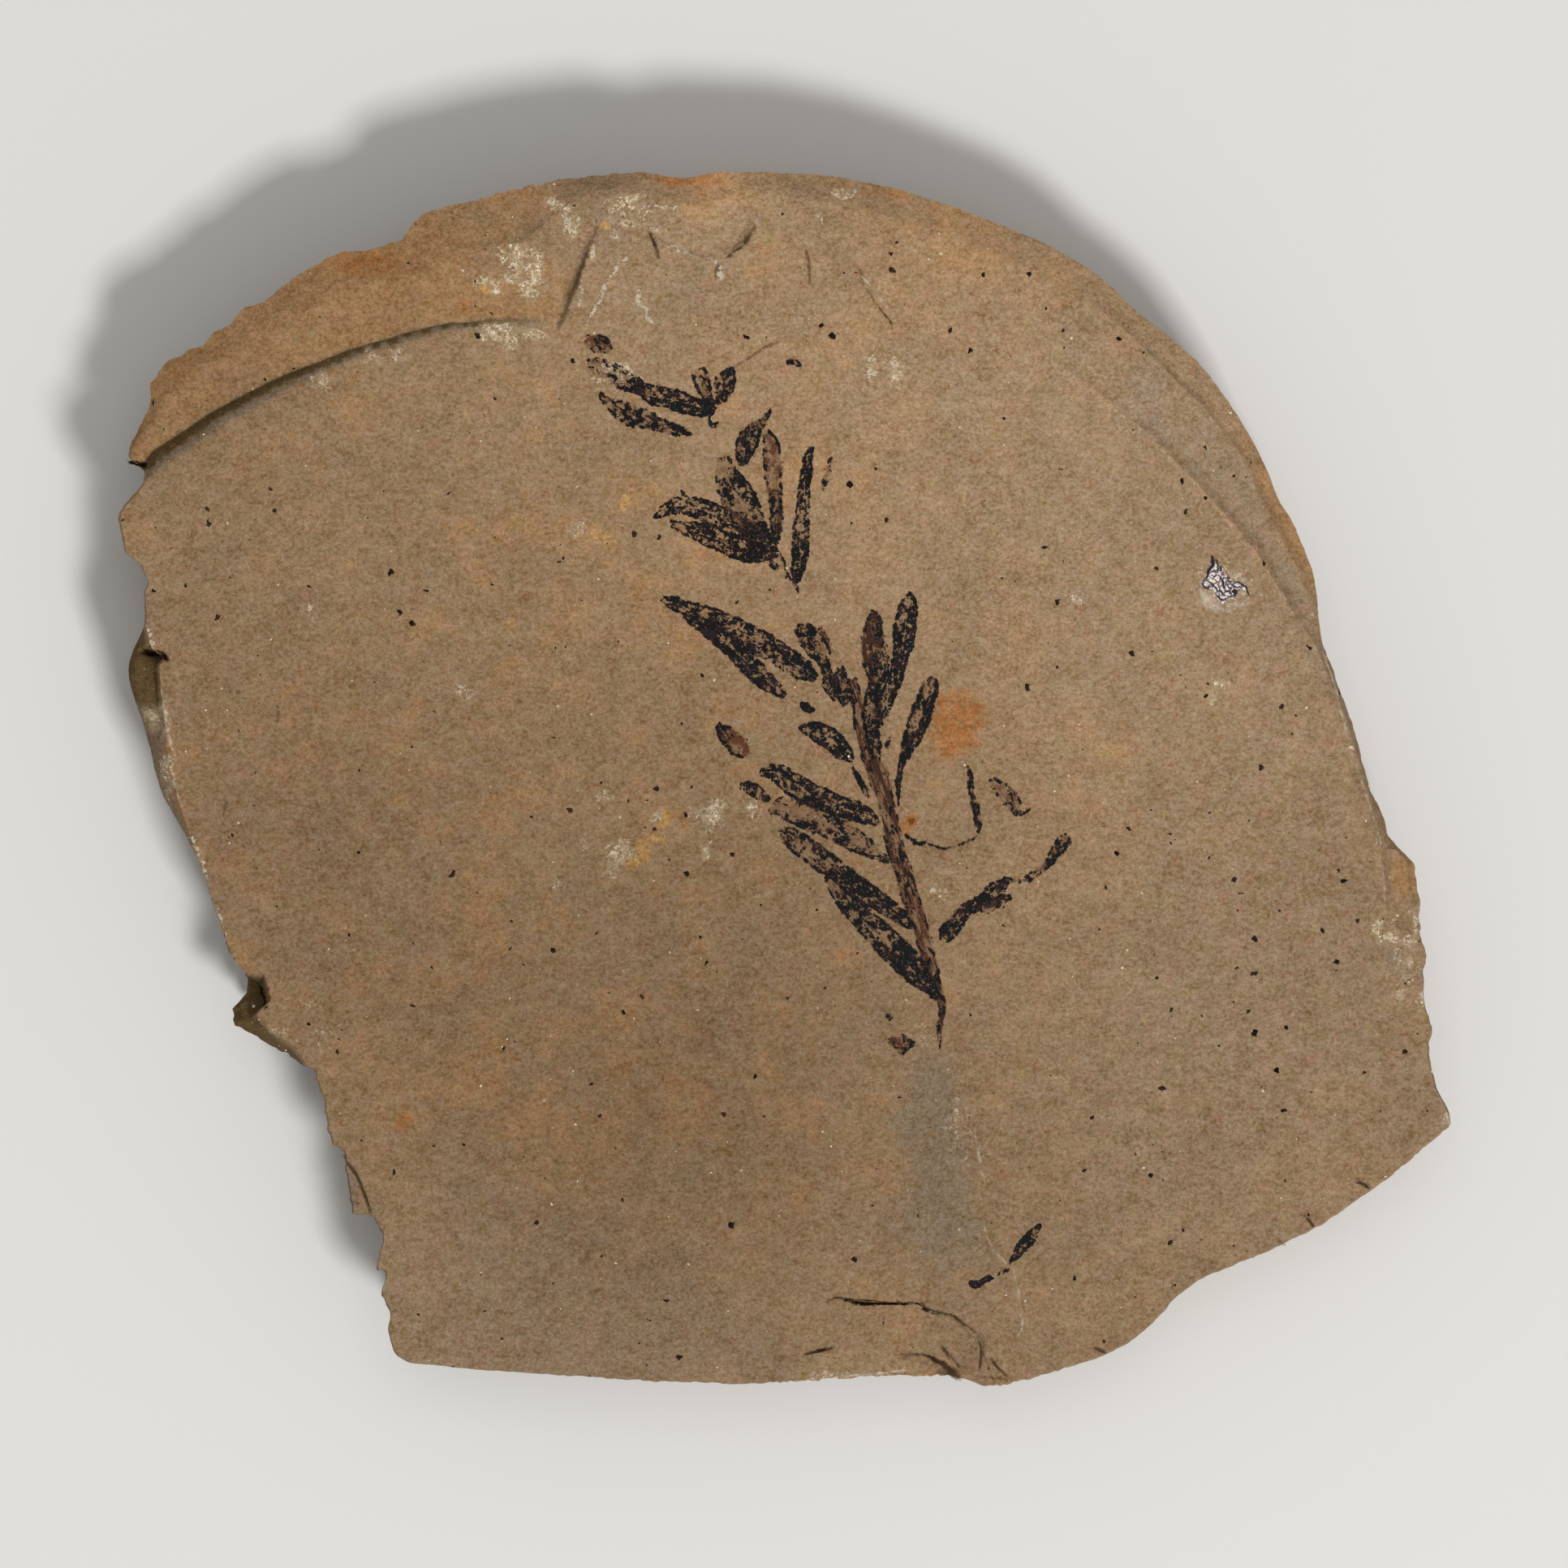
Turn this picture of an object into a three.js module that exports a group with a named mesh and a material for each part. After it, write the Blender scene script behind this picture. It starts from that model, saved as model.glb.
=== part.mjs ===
// A fossil plate: one split slab of fine-grained shale, lying flat with its fossil face up.
//
// The stone is a single closed loft. Rings of points run round the plate, first outwards over
// the bedding face and its broken steps, then down the layered side, then inwards under the
// stone to the flat that it rests on. Every ring shares the same set of directions from the
// middle of the plate, so a step in the stone is a pair of rings close together.
//
// Millimetres, +Z up. The origin is under the middle of the plate, on the resting flat.

import * as THREE from 'three';

// ---------- driving dimensions ----------

const PLATE_LENGTH = 120; // along X, between the two furthest points of the outline
const DRAWN_LENGTH = 120; // the length that the outline and step lines below are drawn for
const PLATE_THICKNESS = 14; // from the resting flat to the fossil face
const EDGE_WEAR = 0.6; // width of the worn arris where the face meets the side
const FACE_WAVE = 0.18; // height of the low swells on the fossil face
const TROUGH_DEPTH = 0.55; // the shallow trough in the lower right of the face
const TROUGH_WIDTH = 7;
const STEP_SHARE = 0.5; // most of the room beyond a crest that its step may take
const LIP_RUN = 0.6; // from the foot of the first step to the lip beyond it
const LIP_SHARE = 0.15;
const SHELF_RUN = 0.4; // width of the second step
const SIDE_ROUGHNESS = 0.9; // how far the broken layers wander in and out
const SIDE_HOLLOWS = 1.5; // the broad bites out of the side, lower down
const BENCH_ROUGHNESS = 0.16; // unevenness of the broken steps
const UNDERCUT = 5; // how far in the side turns under the stone
const REST_LEDGE = 1.1; // height of the broken ledge round the resting flat
const BED_DIP = 0.03; // how far a layer line climbs and falls, as a share of the side
const REST_INSET = 9.5; // how far the resting flat lies inside the outline

const MIN_DIRECTION_GAP = 0.62; // degrees
const MAX_DIRECTION_GAP = 2.6;
const RAD = Math.PI / 180;

// ---------- outline and step lines, clockwise ----------

const northRim = [
  [-59.3, 28.9], [-58.9, 30.1], [-57.0, 34.0], [-57.3, 35.6], [-55.8, 37.5], [-53.9, 38.7],
  [-52.4, 39.1], [-51.7, 40.2], [-50.0, 40.9], [-49.0, 42.3], [-47.2, 43.0], [-45.2, 44.6],
  [-41.2, 47.0], [-39.9, 47.5], [-36.4, 47.9], [-34.4, 48.7], [-33.1, 50.6], [-31.8, 51.3],
  [-29.7, 51.8], [-24.0, 53.3], [-19.4, 54.2], [-13.3, 54.8], [-11.4, 54.5], [-9.4, 54.1],
  [-7.1, 54.5], [-5.5, 54.8], [-0.4, 54.6], [4.0, 54.4], [9.6, 53.3], [15.4, 51.5],
];
const eastRim = [
  [18.9, 50.1], [23.7, 48.2], [27.9, 45.7], [29.8, 44.1], [32.1, 41.6], [33.7, 40.7],
  [35.3, 39.3], [37.7, 37.2], [40.4, 33.4], [42.4, 30.2], [43.8, 27.2], [44.6, 24.6],
  [45.6, 23.9], [46.8, 20.8], [47.7, 18.7], [48.1, 16.2], [48.1, 14.2], [48.5, 12.0],
  [49.5, 10.2], [50.0, 8.0], [51.4, 4.7], [52.2, 1.1], [52.9, -1.1], [54.3, -4.0],
  [54.4, -5.1], [56.8, -7.6], [57.3, -10.9], [57.3, -14.1], [57.9, -15.9], [57.6, -17.5],
  [57.7, -20.3], [58.4, -22.7], [58.0, -24.2], [58.7, -27.7], [60.0, -30.2], [60.0, -31.2],
];
const southEdge = [
  [56.9, -33.9], [53.0, -37.0], [48.0, -40.4], [43.9, -42.4], [37.4, -45.0], [35.3, -46.6],
  [33.5, -48.7], [30.9, -50.9], [27.2, -52.6], [25.4, -53.0], [20.2, -54.6], [17.9, -54.8],
  [16.2, -54.2], [14.6, -53.4], [10.1, -53.8], [1.0, -54.3], [-3.9, -54.5], [-12.0, -54.2],
  [-26.7, -53.2], [-33.8, -52.5], [-35.0, -51.8],
];
const westBreak = [
  [-35.7, -49.4], [-35.3, -48.2], [-36.4, -46.5], [-35.9, -45.1], [-36.9, -44.2],
  [-36.2, -41.9], [-37.3, -39.5], [-39.0, -39.3], [-39.8, -34.0], [-40.8, -33.1],
  [-41.6, -29.1], [-42.3, -26.4], [-48.3, -23.1], [-49.7, -22.2], [-50.0, -20.8],
  [-48.7, -19.4], [-48.6, -18.1], [-50.3, -15.7], [-50.6, -14.0], [-52.5, -7.6],
  [-53.9, -5.0], [-56.2, -1.2], [-57.4, 4.2], [-59.2, 9.1], [-59.3, 10.6], [-57.4, 13.8],
  [-57.6, 16.8], [-57.1, 17.6], [-58.1, 19.6], [-59.3, 20.2], [-60.0, 23.7], [-59.5, 24.6],
  [-57.7, 26.7], [-57.6, 28.0],
];
const outline = [...northRim, ...eastRim, ...southEdge, ...westBreak];

// The edge of the fossil face where a step runs inside the outline.
const northCrest = [
  [-57.4, 26.9], [-53.9, 29.2], [-49.7, 32.3], [-46.3, 34.2], [-42.2, 36.2], [-38.0, 37.9],
  [-33.8, 39.3], [-29.7, 40.4], [-26.7, 40.7], [-19.8, 40.9], [-17.9, 46.6], [-16.8, 49.3],
  [-12.2, 49.1], [-10.2, 47.8], [-6.3, 46.5], [-2.6, 48.7], [2.2, 47.4], [6.9, 45.7],
  [11.2, 43.0], [17.0, 41.2], [23.6, 37.9], [28.7, 34.2], [34.0, 29.9], [39.3, 24.2],
  [42.4, 20.6], [44.6, 17.0], [47.9, 11.7], [50.6, 5.1], [52.6, -1.5], [53.6, -6.6],
  [54.1, -12.8], [56.8, -14.6],
];
const westCrest = [
  [-42.1, -26.7], [-44.0, -24.0], [-46.0, -22.8], [-47.5, -21.1], [-46.0, -19.9],
  [-46.8, -17.4], [-48.9, -17.6], [-51.7, -10.1], [-53.6, -4.2], [-54.8, 1.8], [-55.7, 6.6],
  [-56.2, 10.1], [-55.6, 10.9], [-56.8, 11.7], [-57.4, 13.8],
];
// A flake at the lower edge, sprung along a crack.
const southCrest = [
  [18.6, -53.2], [17.6, -50.7], [15.2, -48.3], [11.6, -47.1], [4.6, -46.6], [2.0, -50.0],
  [0.5, -53.4],
];
// The second step on the right, between the fossil face and the outline.
const shelfCrest = [
  [13.4, 49.2], [21.8, 45.7], [29.0, 41.9], [34.8, 36.2], [37.7, 33.4], [41.0, 29.2],
  [42.7, 25.4], [46.0, 19.2], [47.7, 14.2],
];

// ---------- the broken steps, by direction ----------
// direction in degrees anticlockwise from +X, then the width of the first step and the drops
// below the fossil face at its foot, on the lip beyond it, on the bench, on the lower shelf
// and at the top of the side.

const stepStations = [
  { at: -147, run: 0.4, foot: 0.1, lip: 0.2, bench: 0.3, shelf: 0.4, rim: 0.7 },
  { at: -91, run: 0.3, foot: 0.1, lip: 0.2, bench: 0.3, shelf: 0.4, rim: 0.8 },
  { at: -83, run: 0.3, foot: 0.4, lip: 0.4, bench: 0.5, shelf: 0.8, rim: 1.2 },
  { at: -75, run: 0.3, foot: 0.6, lip: 0.6, bench: 0.8, shelf: 1.8, rim: 2.6 },
  { at: -70, run: 0.3, foot: 0.2, lip: 0.3, bench: 0.3, shelf: 0.4, rim: 0.8 },
  { at: -19, run: 0.3, foot: 0.1, lip: 0.2, bench: 0.3, shelf: 0.4, rim: 0.7 },
  { at: -13, run: 0.5, foot: 0.7, lip: 0.8, bench: 1.0, shelf: 1.3, rim: 1.8 },
  { at: 0, run: 0.6, foot: 0.8, lip: 0.9, bench: 1.1, shelf: 1.4, rim: 2.0 },
  { at: 14, run: 0.5, foot: 0.7, lip: 0.8, bench: 0.9, shelf: 1.3, rim: 2.0 },
  { at: 25, run: 0.5, foot: 0.6, lip: 0.7, bench: 0.8, shelf: 1.4, rim: 2.2 },
  { at: 35, run: 0.5, foot: 0.5, lip: 0.6, bench: 0.7, shelf: 1.3, rim: 2.2 },
  { at: 45, run: 0.4, foot: 0.3, lip: 0.3, bench: 0.4, shelf: 1.0, rim: 2.0 },
  { at: 50, run: 0.4, foot: 0.05, lip: 0.1, bench: 0.3, shelf: 0.7, rim: 1.8 },
  { at: 62, run: 0.5, foot: 0.05, lip: 0.1, bench: 0.2, shelf: 0.4, rim: 1.6 },
  { at: 75, run: 0.5, foot: 0.05, lip: 0.1, bench: 0.2, shelf: 0.3, rim: 1.5 },
  { at: 97, run: 0.5, foot: 0.1, lip: 0.1, bench: 0.2, shelf: 0.4, rim: 1.4 },
  { at: 117, run: 0.4, foot: 0.1, lip: 0.1, bench: 0.2, shelf: 0.5, rim: 1.6 },
  { at: 123, run: 0.6, foot: 0.3, lip: 0.3, bench: 0.4, shelf: 0.6, rim: 1.7 },
  { at: 130, run: 0.9, foot: 0.6, lip: 0.6, bench: 0.7, shelf: 0.8, rim: 1.8 },
  { at: 137, run: 1.2, foot: 0.8, lip: 0.8, bench: 0.9, shelf: 1.0, rim: 1.9 },
  { at: 144, run: 1.6, foot: 1.1, lip: 1.1, bench: 1.1, shelf: 1.2, rim: 2.0 },
  { at: 154, run: 2.2, foot: 1.5, lip: 1.5, bench: 1.5, shelf: 1.6, rim: 2.2 },
  { at: 156, run: 0.3, foot: 0.1, lip: 0.2, bench: 0.3, shelf: 0.4, rim: 0.7 },
  { at: 166, run: 0.3, foot: 0.1, lip: 0.2, bench: 0.3, shelf: 0.4, rim: 0.9 },
  { at: 168, run: 0.5, foot: 1.6, lip: 1.7, bench: 1.8, shelf: 2.0, rim: 2.8 },
  { at: 176, run: 0.5, foot: 1.2, lip: 1.4, bench: 1.6, shelf: 1.9, rim: 2.7 },
  { at: 182, run: 0.5, foot: 0.9, lip: 1.1, bench: 1.3, shelf: 1.6, rim: 2.4 },
  { at: 190, run: 0.4, foot: 0.6, lip: 0.8, bench: 1.0, shelf: 1.4, rim: 2.2 },
  { at: 200, run: 0.6, foot: 2.4, lip: 2.8, bench: 3.2, shelf: 3.6, rim: 4.4 },
  { at: 208, run: 0.6, foot: 2.4, lip: 2.9, bench: 3.3, shelf: 3.7, rim: 4.5 },
  { at: 213, run: 0.4, foot: 0.1, lip: 0.2, bench: 0.3, shelf: 0.4, rim: 0.7 },
];

// The layered side, from the top down: height as a share of the side, and the mean inset.
const sideLayers = [
  { level: 0.86, inset: 0.1 },
  { level: 0.8, inset: 1.0 },
  { level: 0.58, inset: 0.6 },
  { level: 0.52, inset: 1.5 },
  { level: 0.3, inset: 1.0 },
  { level: 0.24, inset: 2.1 },
  { level: 0.12, inset: 2.5 },
];

// Rings on the fossil face, as a share of the way to its edge, and how many of the
// directions each one keeps.
const faceRings = [
  { share: 0.2, keep: 8 },
  { share: 0.42, keep: 4 },
  { share: 0.6, keep: 2 },
  { share: 0.77, keep: 2 },
  { share: 0.91, keep: 1 },
];
const restRings = [
  { share: 0.6, keep: 4 },
  { share: 0.3, keep: 8 },
];

// ---------- small helpers ----------

const mix = (a, b, t) => a + (b - a) * t;
const smooth = (t) => t * t * (3 - 2 * t);
const clamp = (t, low, high) => Math.min(Math.max(t, low), high);
const directionOf = ([x, y]) => Math.atan2(y, x) / RAD;
const polar = (angle, radius, height) => [
  radius * Math.cos(angle * RAD), radius * Math.sin(angle * RAD), height];
const turn = (angle, from) => ((angle - from) % 360 + 360) % 360;

// A repeatable value from 0 to 1 for a pair of whole numbers.
function chance(i, j) {
  let h = (Math.imul(i, 374761393) + Math.imul(j, 668265263)) | 0;
  h = Math.imul(h ^ (h >>> 13), 1274126177);
  return ((h ^ (h >>> 16)) >>> 0) / 4294967295;
}

// Uneven stone round the plate, from -1 to 1, with the given number of lumps per turn.
function ragged(angle, lumps, row) {
  const place = turn(angle, 0) / 360 * lumps;
  const cell = Math.floor(place);
  const here = chance(cell % lumps, row);
  const next = chance((cell + 1) % lumps, row);
  return mix(here, next, smooth(place - cell)) * 2 - 1;
}
const broken = (angle, row) => 0.6 * ragged(angle, 46, row) + 0.4 * ragged(angle, 130, row + 50);

// How far from the middle a line lies in one direction, or Infinity where it doesn't reach.
function reach(line, angle) {
  const direction = [Math.cos(angle * RAD), Math.sin(angle * RAD)];
  for (let i = 0; i + 1 < line.length; i += 1) {
    const [a, b] = [line[i], line[i + 1]];
    const span = turn(directionOf(a), directionOf(b));
    if (turn(directionOf(a), angle) > span) continue;
    const edge = [b[0] - a[0], b[1] - a[1]];
    const across = direction[0] * edge[1] - direction[1] * edge[0];
    return (a[0] * edge[1] - a[1] * edge[0]) / across;
  }
  return Infinity;
}

// The step sizes in one direction, between the two stations next to it.
function stepsAt(angle) {
  const start = stepStations[0].at;
  const place = turn(angle, start);
  const later = stepStations.findIndex((station) => station.at - start > place);
  const next = later < 0 ? { ...stepStations[0], at: start + 360 } : stepStations[later];
  const last = stepStations[later < 0 ? stepStations.length - 1 : later - 1];
  const t = smooth((place - (last.at - start)) / (next.at - last.at));
  const sizes = {};
  for (const key of ['run', 'foot', 'lip', 'bench', 'shelf', 'rim']) {
    sizes[key] = mix(last[key], next[key], t);
  }
  return sizes;
}

// A faint ridge at the lower right, with the trough on its left: where it starts, how it leans,
// and between which Y it fades in and out.
const ridge = { x: 16, y: -28, lean: 0.24, start: -22, full: -36, fading: -46, end: -54 };

// Height of the fossil face: low swells, and the trough beside the ridge.
function faceHeight(x, y) {
  const broadSwell = Math.sin(x * 0.075 + 1.1) * Math.cos(y * 0.066 - 0.4);
  const slantSwell = Math.sin(x * 0.05 + y * 0.13 + 2.0);
  const ridgeX = ridge.x + (ridge.y - y) * ridge.lean;
  const away = clamp((ridgeX - x) / TROUGH_WIDTH, 0, 1);
  const across = (1 - away) ** 2 * smooth(clamp(away * 6, 0, 1));
  const along = smooth(clamp((y - ridge.start) / (ridge.full - ridge.start), 0, 1))
    * smooth(clamp((y - ridge.end) / (ridge.fading - ridge.end), 0, 1));
  return PLATE_THICKNESS + FACE_WAVE * (broadSwell + 0.5 * slantSwell)
    - TROUGH_DEPTH * across * along;
}

// ---------- directions ----------

// Corners of the lines first, then fillers, so that every kink of the outline is kept.
function chooseDirections() {
  const chosen = [];
  const isFree = (angle) => chosen.every((other) => {
    const gap = turn(angle, other);
    return Math.min(gap, 360 - gap) >= MIN_DIRECTION_GAP;
  });
  for (const line of [outline, northCrest, westCrest, southCrest]) {
    for (const point of line) {
      const angle = turn(directionOf(point), 0);
      if (isFree(angle)) chosen.push(angle);
    }
  }
  chosen.sort((a, b) => a - b);
  const filled = [];
  chosen.forEach((angle, i) => {
    const gap = turn(chosen[(i + 1) % chosen.length], angle);
    const pieces = Math.ceil(gap / MAX_DIRECTION_GAP);
    for (let k = 0; k < pieces; k += 1) filled.push(angle + gap * k / pieces);
  });
  return filled;
}

// ---------- the stone ----------

const closedOutline = [...outline, outline[0]];
const scale = PLATE_LENGTH / DRAWN_LENGTH;

// Every point of the stone in one direction, from the fossil face down to the resting flat.
function profileAt(angle) {
  const steps = stepsAt(angle);
  const rim = reach(closedOutline, angle);
  const crests = [northCrest, westCrest, southCrest].map((line) => reach(line, angle));
  const crest = Math.min(rim - EDGE_WEAR, ...crests);
  const foot = crest + Math.min(steps.run, STEP_SHARE * (rim - crest));
  const lip = foot + Math.min(LIP_RUN, LIP_SHARE * (rim - foot));
  const shelfLine = reach(shelfCrest, angle);
  const shelfTop = clamp(
    Number.isFinite(shelfLine) ? shelfLine : mix(lip, rim, 0.6),
    mix(lip, rim, 0.2),
    mix(lip, rim, 0.8),
  );
  const bench = mix(lip, shelfTop, 0.5);
  const shelfFoot = shelfTop + Math.min(SHELF_RUN, STEP_SHARE * (rim - shelfTop));

  const face = (radius, drop, row) => {
    const uneven = BENCH_ROUGHNESS * clamp(drop, 0, 1) * broken(angle, row);
    const [x, y] = polar(angle, radius, 0);
    return [x, y, faceHeight(x, y) - drop + uneven];
  };

  const top = [
    face(crest, 0, 1),
    face(foot, steps.foot, 2),
    face(lip, steps.lip, 3),
    face(bench, mix(steps.lip, steps.bench, 0.6), 4),
    face(shelfTop, steps.bench, 5),
    face(shelfFoot, steps.shelf, 6),
    face(rim, steps.rim, 7),
  ];
  const sideTop = top[top.length - 1][2];
  const hollow = SIDE_HOLLOWS * (0.5 + 0.5 * ragged(angle, 11, 60));
  const side = sideLayers.map((layer, i) => {
    const bed = Math.floor((i + 1) / 2);
    const wander = SIDE_ROUGHNESS * (0.5 + 0.5 * broken(angle, 20 + bed));
    const level = layer.level + BED_DIP * ragged(angle, 9, 30 + bed);
    const radius = rim - layer.inset - wander - hollow * Math.sqrt(1 - level);
    return polar(angle, radius, sideTop * level);
  });
  const restEdge = rim - REST_INSET * (1 + 0.3 * ragged(angle, 14, 40));
  const turnUnder = rim - UNDERCUT - 0.4 * SIDE_ROUGHNESS * broken(angle, 45);
  const under = [
    polar(angle, turnUnder, REST_LEDGE * 0.75),
    polar(angle, restEdge + 0.7, REST_LEDGE),
    polar(angle, restEdge, 0),
  ];
  return { crest, restEdge, points: [...top, ...side, ...under] };
}

// Joins two rings of points, given as { angle, index } lists that both go once round.
function joinRings(inner, outer, triangles) {
  let i = 0;
  let j = 0;
  const angleOf = (ring, k) => ring[k % ring.length].angle + 360 * Math.floor(k / ring.length);
  while (i < inner.length || j < outer.length) {
    const a = inner[i % inner.length].index;
    const b = outer[j % outer.length].index;
    const stepOuter = j < outer.length
      && (i >= inner.length || angleOf(outer, j + 1) <= angleOf(inner, i + 1));
    if (stepOuter) {
      triangles.push(a, b, outer[(j + 1) % outer.length].index);
      j += 1;
    } else {
      triangles.push(a, b, inner[(i + 1) % inner.length].index);
      i += 1;
    }
  }
}

function stoneGeometry() {
  const positions = [];
  const triangles = [];
  const rings = [];
  const addPoint = ([x, y, z]) => {
    positions.push(x * scale, y * scale, z);
    return positions.length / 3 - 1;
  };
  const addRing = (profiles, pointOf) => rings.push(
    profiles.map(({ angle, profile }) => ({ angle, index: addPoint(pointOf(angle, profile)) })));

  const profiles = chooseDirections().map((angle) => ({ angle, profile: profileAt(angle) }));

  for (const { share, keep } of faceRings) {
    const kept = profiles.filter((_, i) => i % keep === 0);
    addRing(kept, (angle, profile) => {
      const [x, y] = polar(angle, profile.crest * share, 0);
      return [x, y, faceHeight(x, y)];
    });
  }
  const rowCount = profiles[0].profile.points.length;
  for (let row = 0; row < rowCount; row += 1) {
    addRing(profiles, (angle, profile) => profile.points[row]);
  }
  for (const { share, keep } of restRings) {
    const kept = profiles.filter((_, i) => i % keep === 0);
    addRing(kept, (angle, profile) => polar(angle, profile.restEdge * share, 0));
  }

  for (let k = 0; k + 1 < rings.length; k += 1) joinRings(rings[k], rings[k + 1], triangles);
  const first = rings[0];
  const last = rings[rings.length - 1];
  const top = addPoint([0, 0, faceHeight(0, 0)]);
  const bottom = addPoint([0, 0, 0]);
  first.forEach(({ index }, i) => triangles.push(top, index, first[(i + 1) % first.length].index));
  last.forEach(({ index }, i) => triangles.push(bottom, last[(i + 1) % last.length].index, index));

  const geometry = new THREE.BufferGeometry();
  geometry.setAttribute('position', new THREE.Float32BufferAttribute(positions, 3));
  geometry.setIndex(triangles);
  geometry.computeVertexNormals();
  return geometry;
}

// Puts the origin under the middle of the plate's box, on the resting flat.
function centreOnRest(geometry) {
  geometry.computeBoundingBox();
  const { min, max } = geometry.boundingBox;
  geometry.translate(-(min.x + max.x) / 2, -(min.y + max.y) / 2, -min.z);
  return geometry;
}

const shale = new THREE.MeshStandardMaterial({
  name: 'tan shale',
  color: new THREE.Color().setRGB(0.57, 0.46, 0.34, THREE.SRGBColorSpace),
  roughness: 0.9,
  metalness: 0,
  flatShading: true,
});

const slab = new THREE.Mesh(centreOnRest(stoneGeometry()), shale);
slab.name = 'slab';

const plate = new THREE.Group();
plate.add(slab);

export default plate;
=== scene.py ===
# %% [markdown]
# # A fossil twig on a split slab of shale
# The object is one stone: a plate of fine-grained shale, split along its bedding, with a
# carbonised dawn redwood twig pressed into the upper face. This notebook dresses the plate in
# looks. The solid itself comes from the packed frame and isn't touched.
#
# The steps are: the frame and the stage, the shape of the stone, its stains and its finish,
# the carbon film of the leaves, and the small mineral grains.

import bpy
import numpy as np
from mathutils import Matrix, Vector
from mathutils.geometry import delaunay_2d_cdt


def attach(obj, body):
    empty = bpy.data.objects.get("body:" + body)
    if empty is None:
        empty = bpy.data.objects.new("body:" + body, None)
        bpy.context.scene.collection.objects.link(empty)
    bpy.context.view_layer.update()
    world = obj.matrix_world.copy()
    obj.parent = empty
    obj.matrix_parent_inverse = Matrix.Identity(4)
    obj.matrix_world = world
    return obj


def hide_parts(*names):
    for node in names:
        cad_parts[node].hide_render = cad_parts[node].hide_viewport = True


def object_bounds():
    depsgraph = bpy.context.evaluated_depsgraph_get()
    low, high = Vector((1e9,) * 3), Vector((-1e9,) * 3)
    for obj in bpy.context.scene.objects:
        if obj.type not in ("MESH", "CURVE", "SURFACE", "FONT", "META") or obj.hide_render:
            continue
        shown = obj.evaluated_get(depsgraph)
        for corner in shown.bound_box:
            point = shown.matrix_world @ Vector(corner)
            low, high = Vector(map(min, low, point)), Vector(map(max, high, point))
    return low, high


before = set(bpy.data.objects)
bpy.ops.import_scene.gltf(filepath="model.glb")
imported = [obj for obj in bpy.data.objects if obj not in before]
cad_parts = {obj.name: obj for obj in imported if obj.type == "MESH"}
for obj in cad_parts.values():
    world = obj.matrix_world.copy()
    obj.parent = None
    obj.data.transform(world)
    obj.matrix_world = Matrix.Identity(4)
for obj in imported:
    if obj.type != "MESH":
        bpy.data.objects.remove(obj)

cad_low, cad_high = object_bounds()
FACE = cad_high.z
print("frame box, mm:", [round(v * 1000, 2) for v in (*cad_low, *cad_high)])

# %% [markdown]
# ## Camera, light and floor
# A fossil plate lies down, so the camera looks straight down on it through a long lens, which
# keeps the edges from leaning. The light is a broad soft key from the lower right, low enough
# to model the broken steps, with a pale sky and a soft box overhead to open the shadows.
#
# Each lamp's power could be typed in by eye. Here it is worked out from the brightness that
# the lamp should give a level white card, so that colours below can be read as real albedos.

# %% Camera
MM = 0.001
VIEW_WIDTH = 140.8 * MM      # what the camera takes in across the fossil face
CAMERA_HEIGHT = 1.2          # above the face
VIEW_CENTRE_Y = -0.44 * MM


def new_object(name, data):
    """An object in the scene for a camera, a lamp or a mesh."""
    made = bpy.data.objects.new(name, data)
    bpy.context.scene.collection.objects.link(made)
    return made


camera_data = bpy.data.cameras.new("camera")
camera_data.type = "PERSP"
camera_data.lens = camera_data.sensor_width * CAMERA_HEIGHT / VIEW_WIDTH
camera_data.clip_start = 0.01
camera_data.clip_end = 50
camera = new_object("camera", camera_data)
camera.location = (0, VIEW_CENTRE_Y, FACE + CAMERA_HEIGHT)
bpy.context.scene.camera = camera
print("lens, mm:", round(camera_data.lens, 1))

# %% Lamps
KEY_SHARE = 0.52             # brightness that each light gives a level white card
TOP_SHARE = 0.12
SKY_SHARE = 0.36


def soft_box(name, turn, height, distance, size, share):
    """A square lamp aimed at the middle of the plate, for a given share of the white card.
    It is turned from +X and raised above the floor by so many degrees."""
    turn, height = np.radians((turn, height))
    back = Vector((np.cos(turn) * np.cos(height), np.sin(turn) * np.cos(height), np.sin(height)))
    data = bpy.data.lights.new(name, "AREA")
    data.shape = "SQUARE"
    data.size = size
    data.energy = share * np.pi ** 2 * distance ** 2 / np.sin(height)
    lamp = new_object(name, data)
    lamp.location = back * distance
    lamp.rotation_mode = "QUATERNION"
    lamp.rotation_quaternion = back.to_track_quat("Z", "Y")
    print(name, "power, W:", round(data.energy, 1))


soft_box("key", turn=-60, height=50, distance=2.4, size=0.42, share=KEY_SHARE)
soft_box("top", turn=90, height=80, distance=3.0, size=1.6, share=TOP_SHARE)

# %% Sky and floor
SKY_COLOUR = (1.0, 0.985, 0.96, 1)
FLOOR_COLOUR = (0.76, 0.75, 0.73, 1)
FLOOR_SIZE = 12
FLOOR_DROP = 0.02 * MM       # below the plate, so that the two faces don't share a plane


def set_sockets(node, **values):
    for name, value in values.items():
        node.inputs[name.replace("_", " ")].default_value = value


world = bpy.data.worlds.new("sky")
world.use_nodes = True
set_sockets(world.node_tree.nodes["Background"], Color=SKY_COLOUR, Strength=SKY_SHARE)
bpy.context.scene.world = world
bpy.context.scene.view_settings.view_transform = "Standard"

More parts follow.
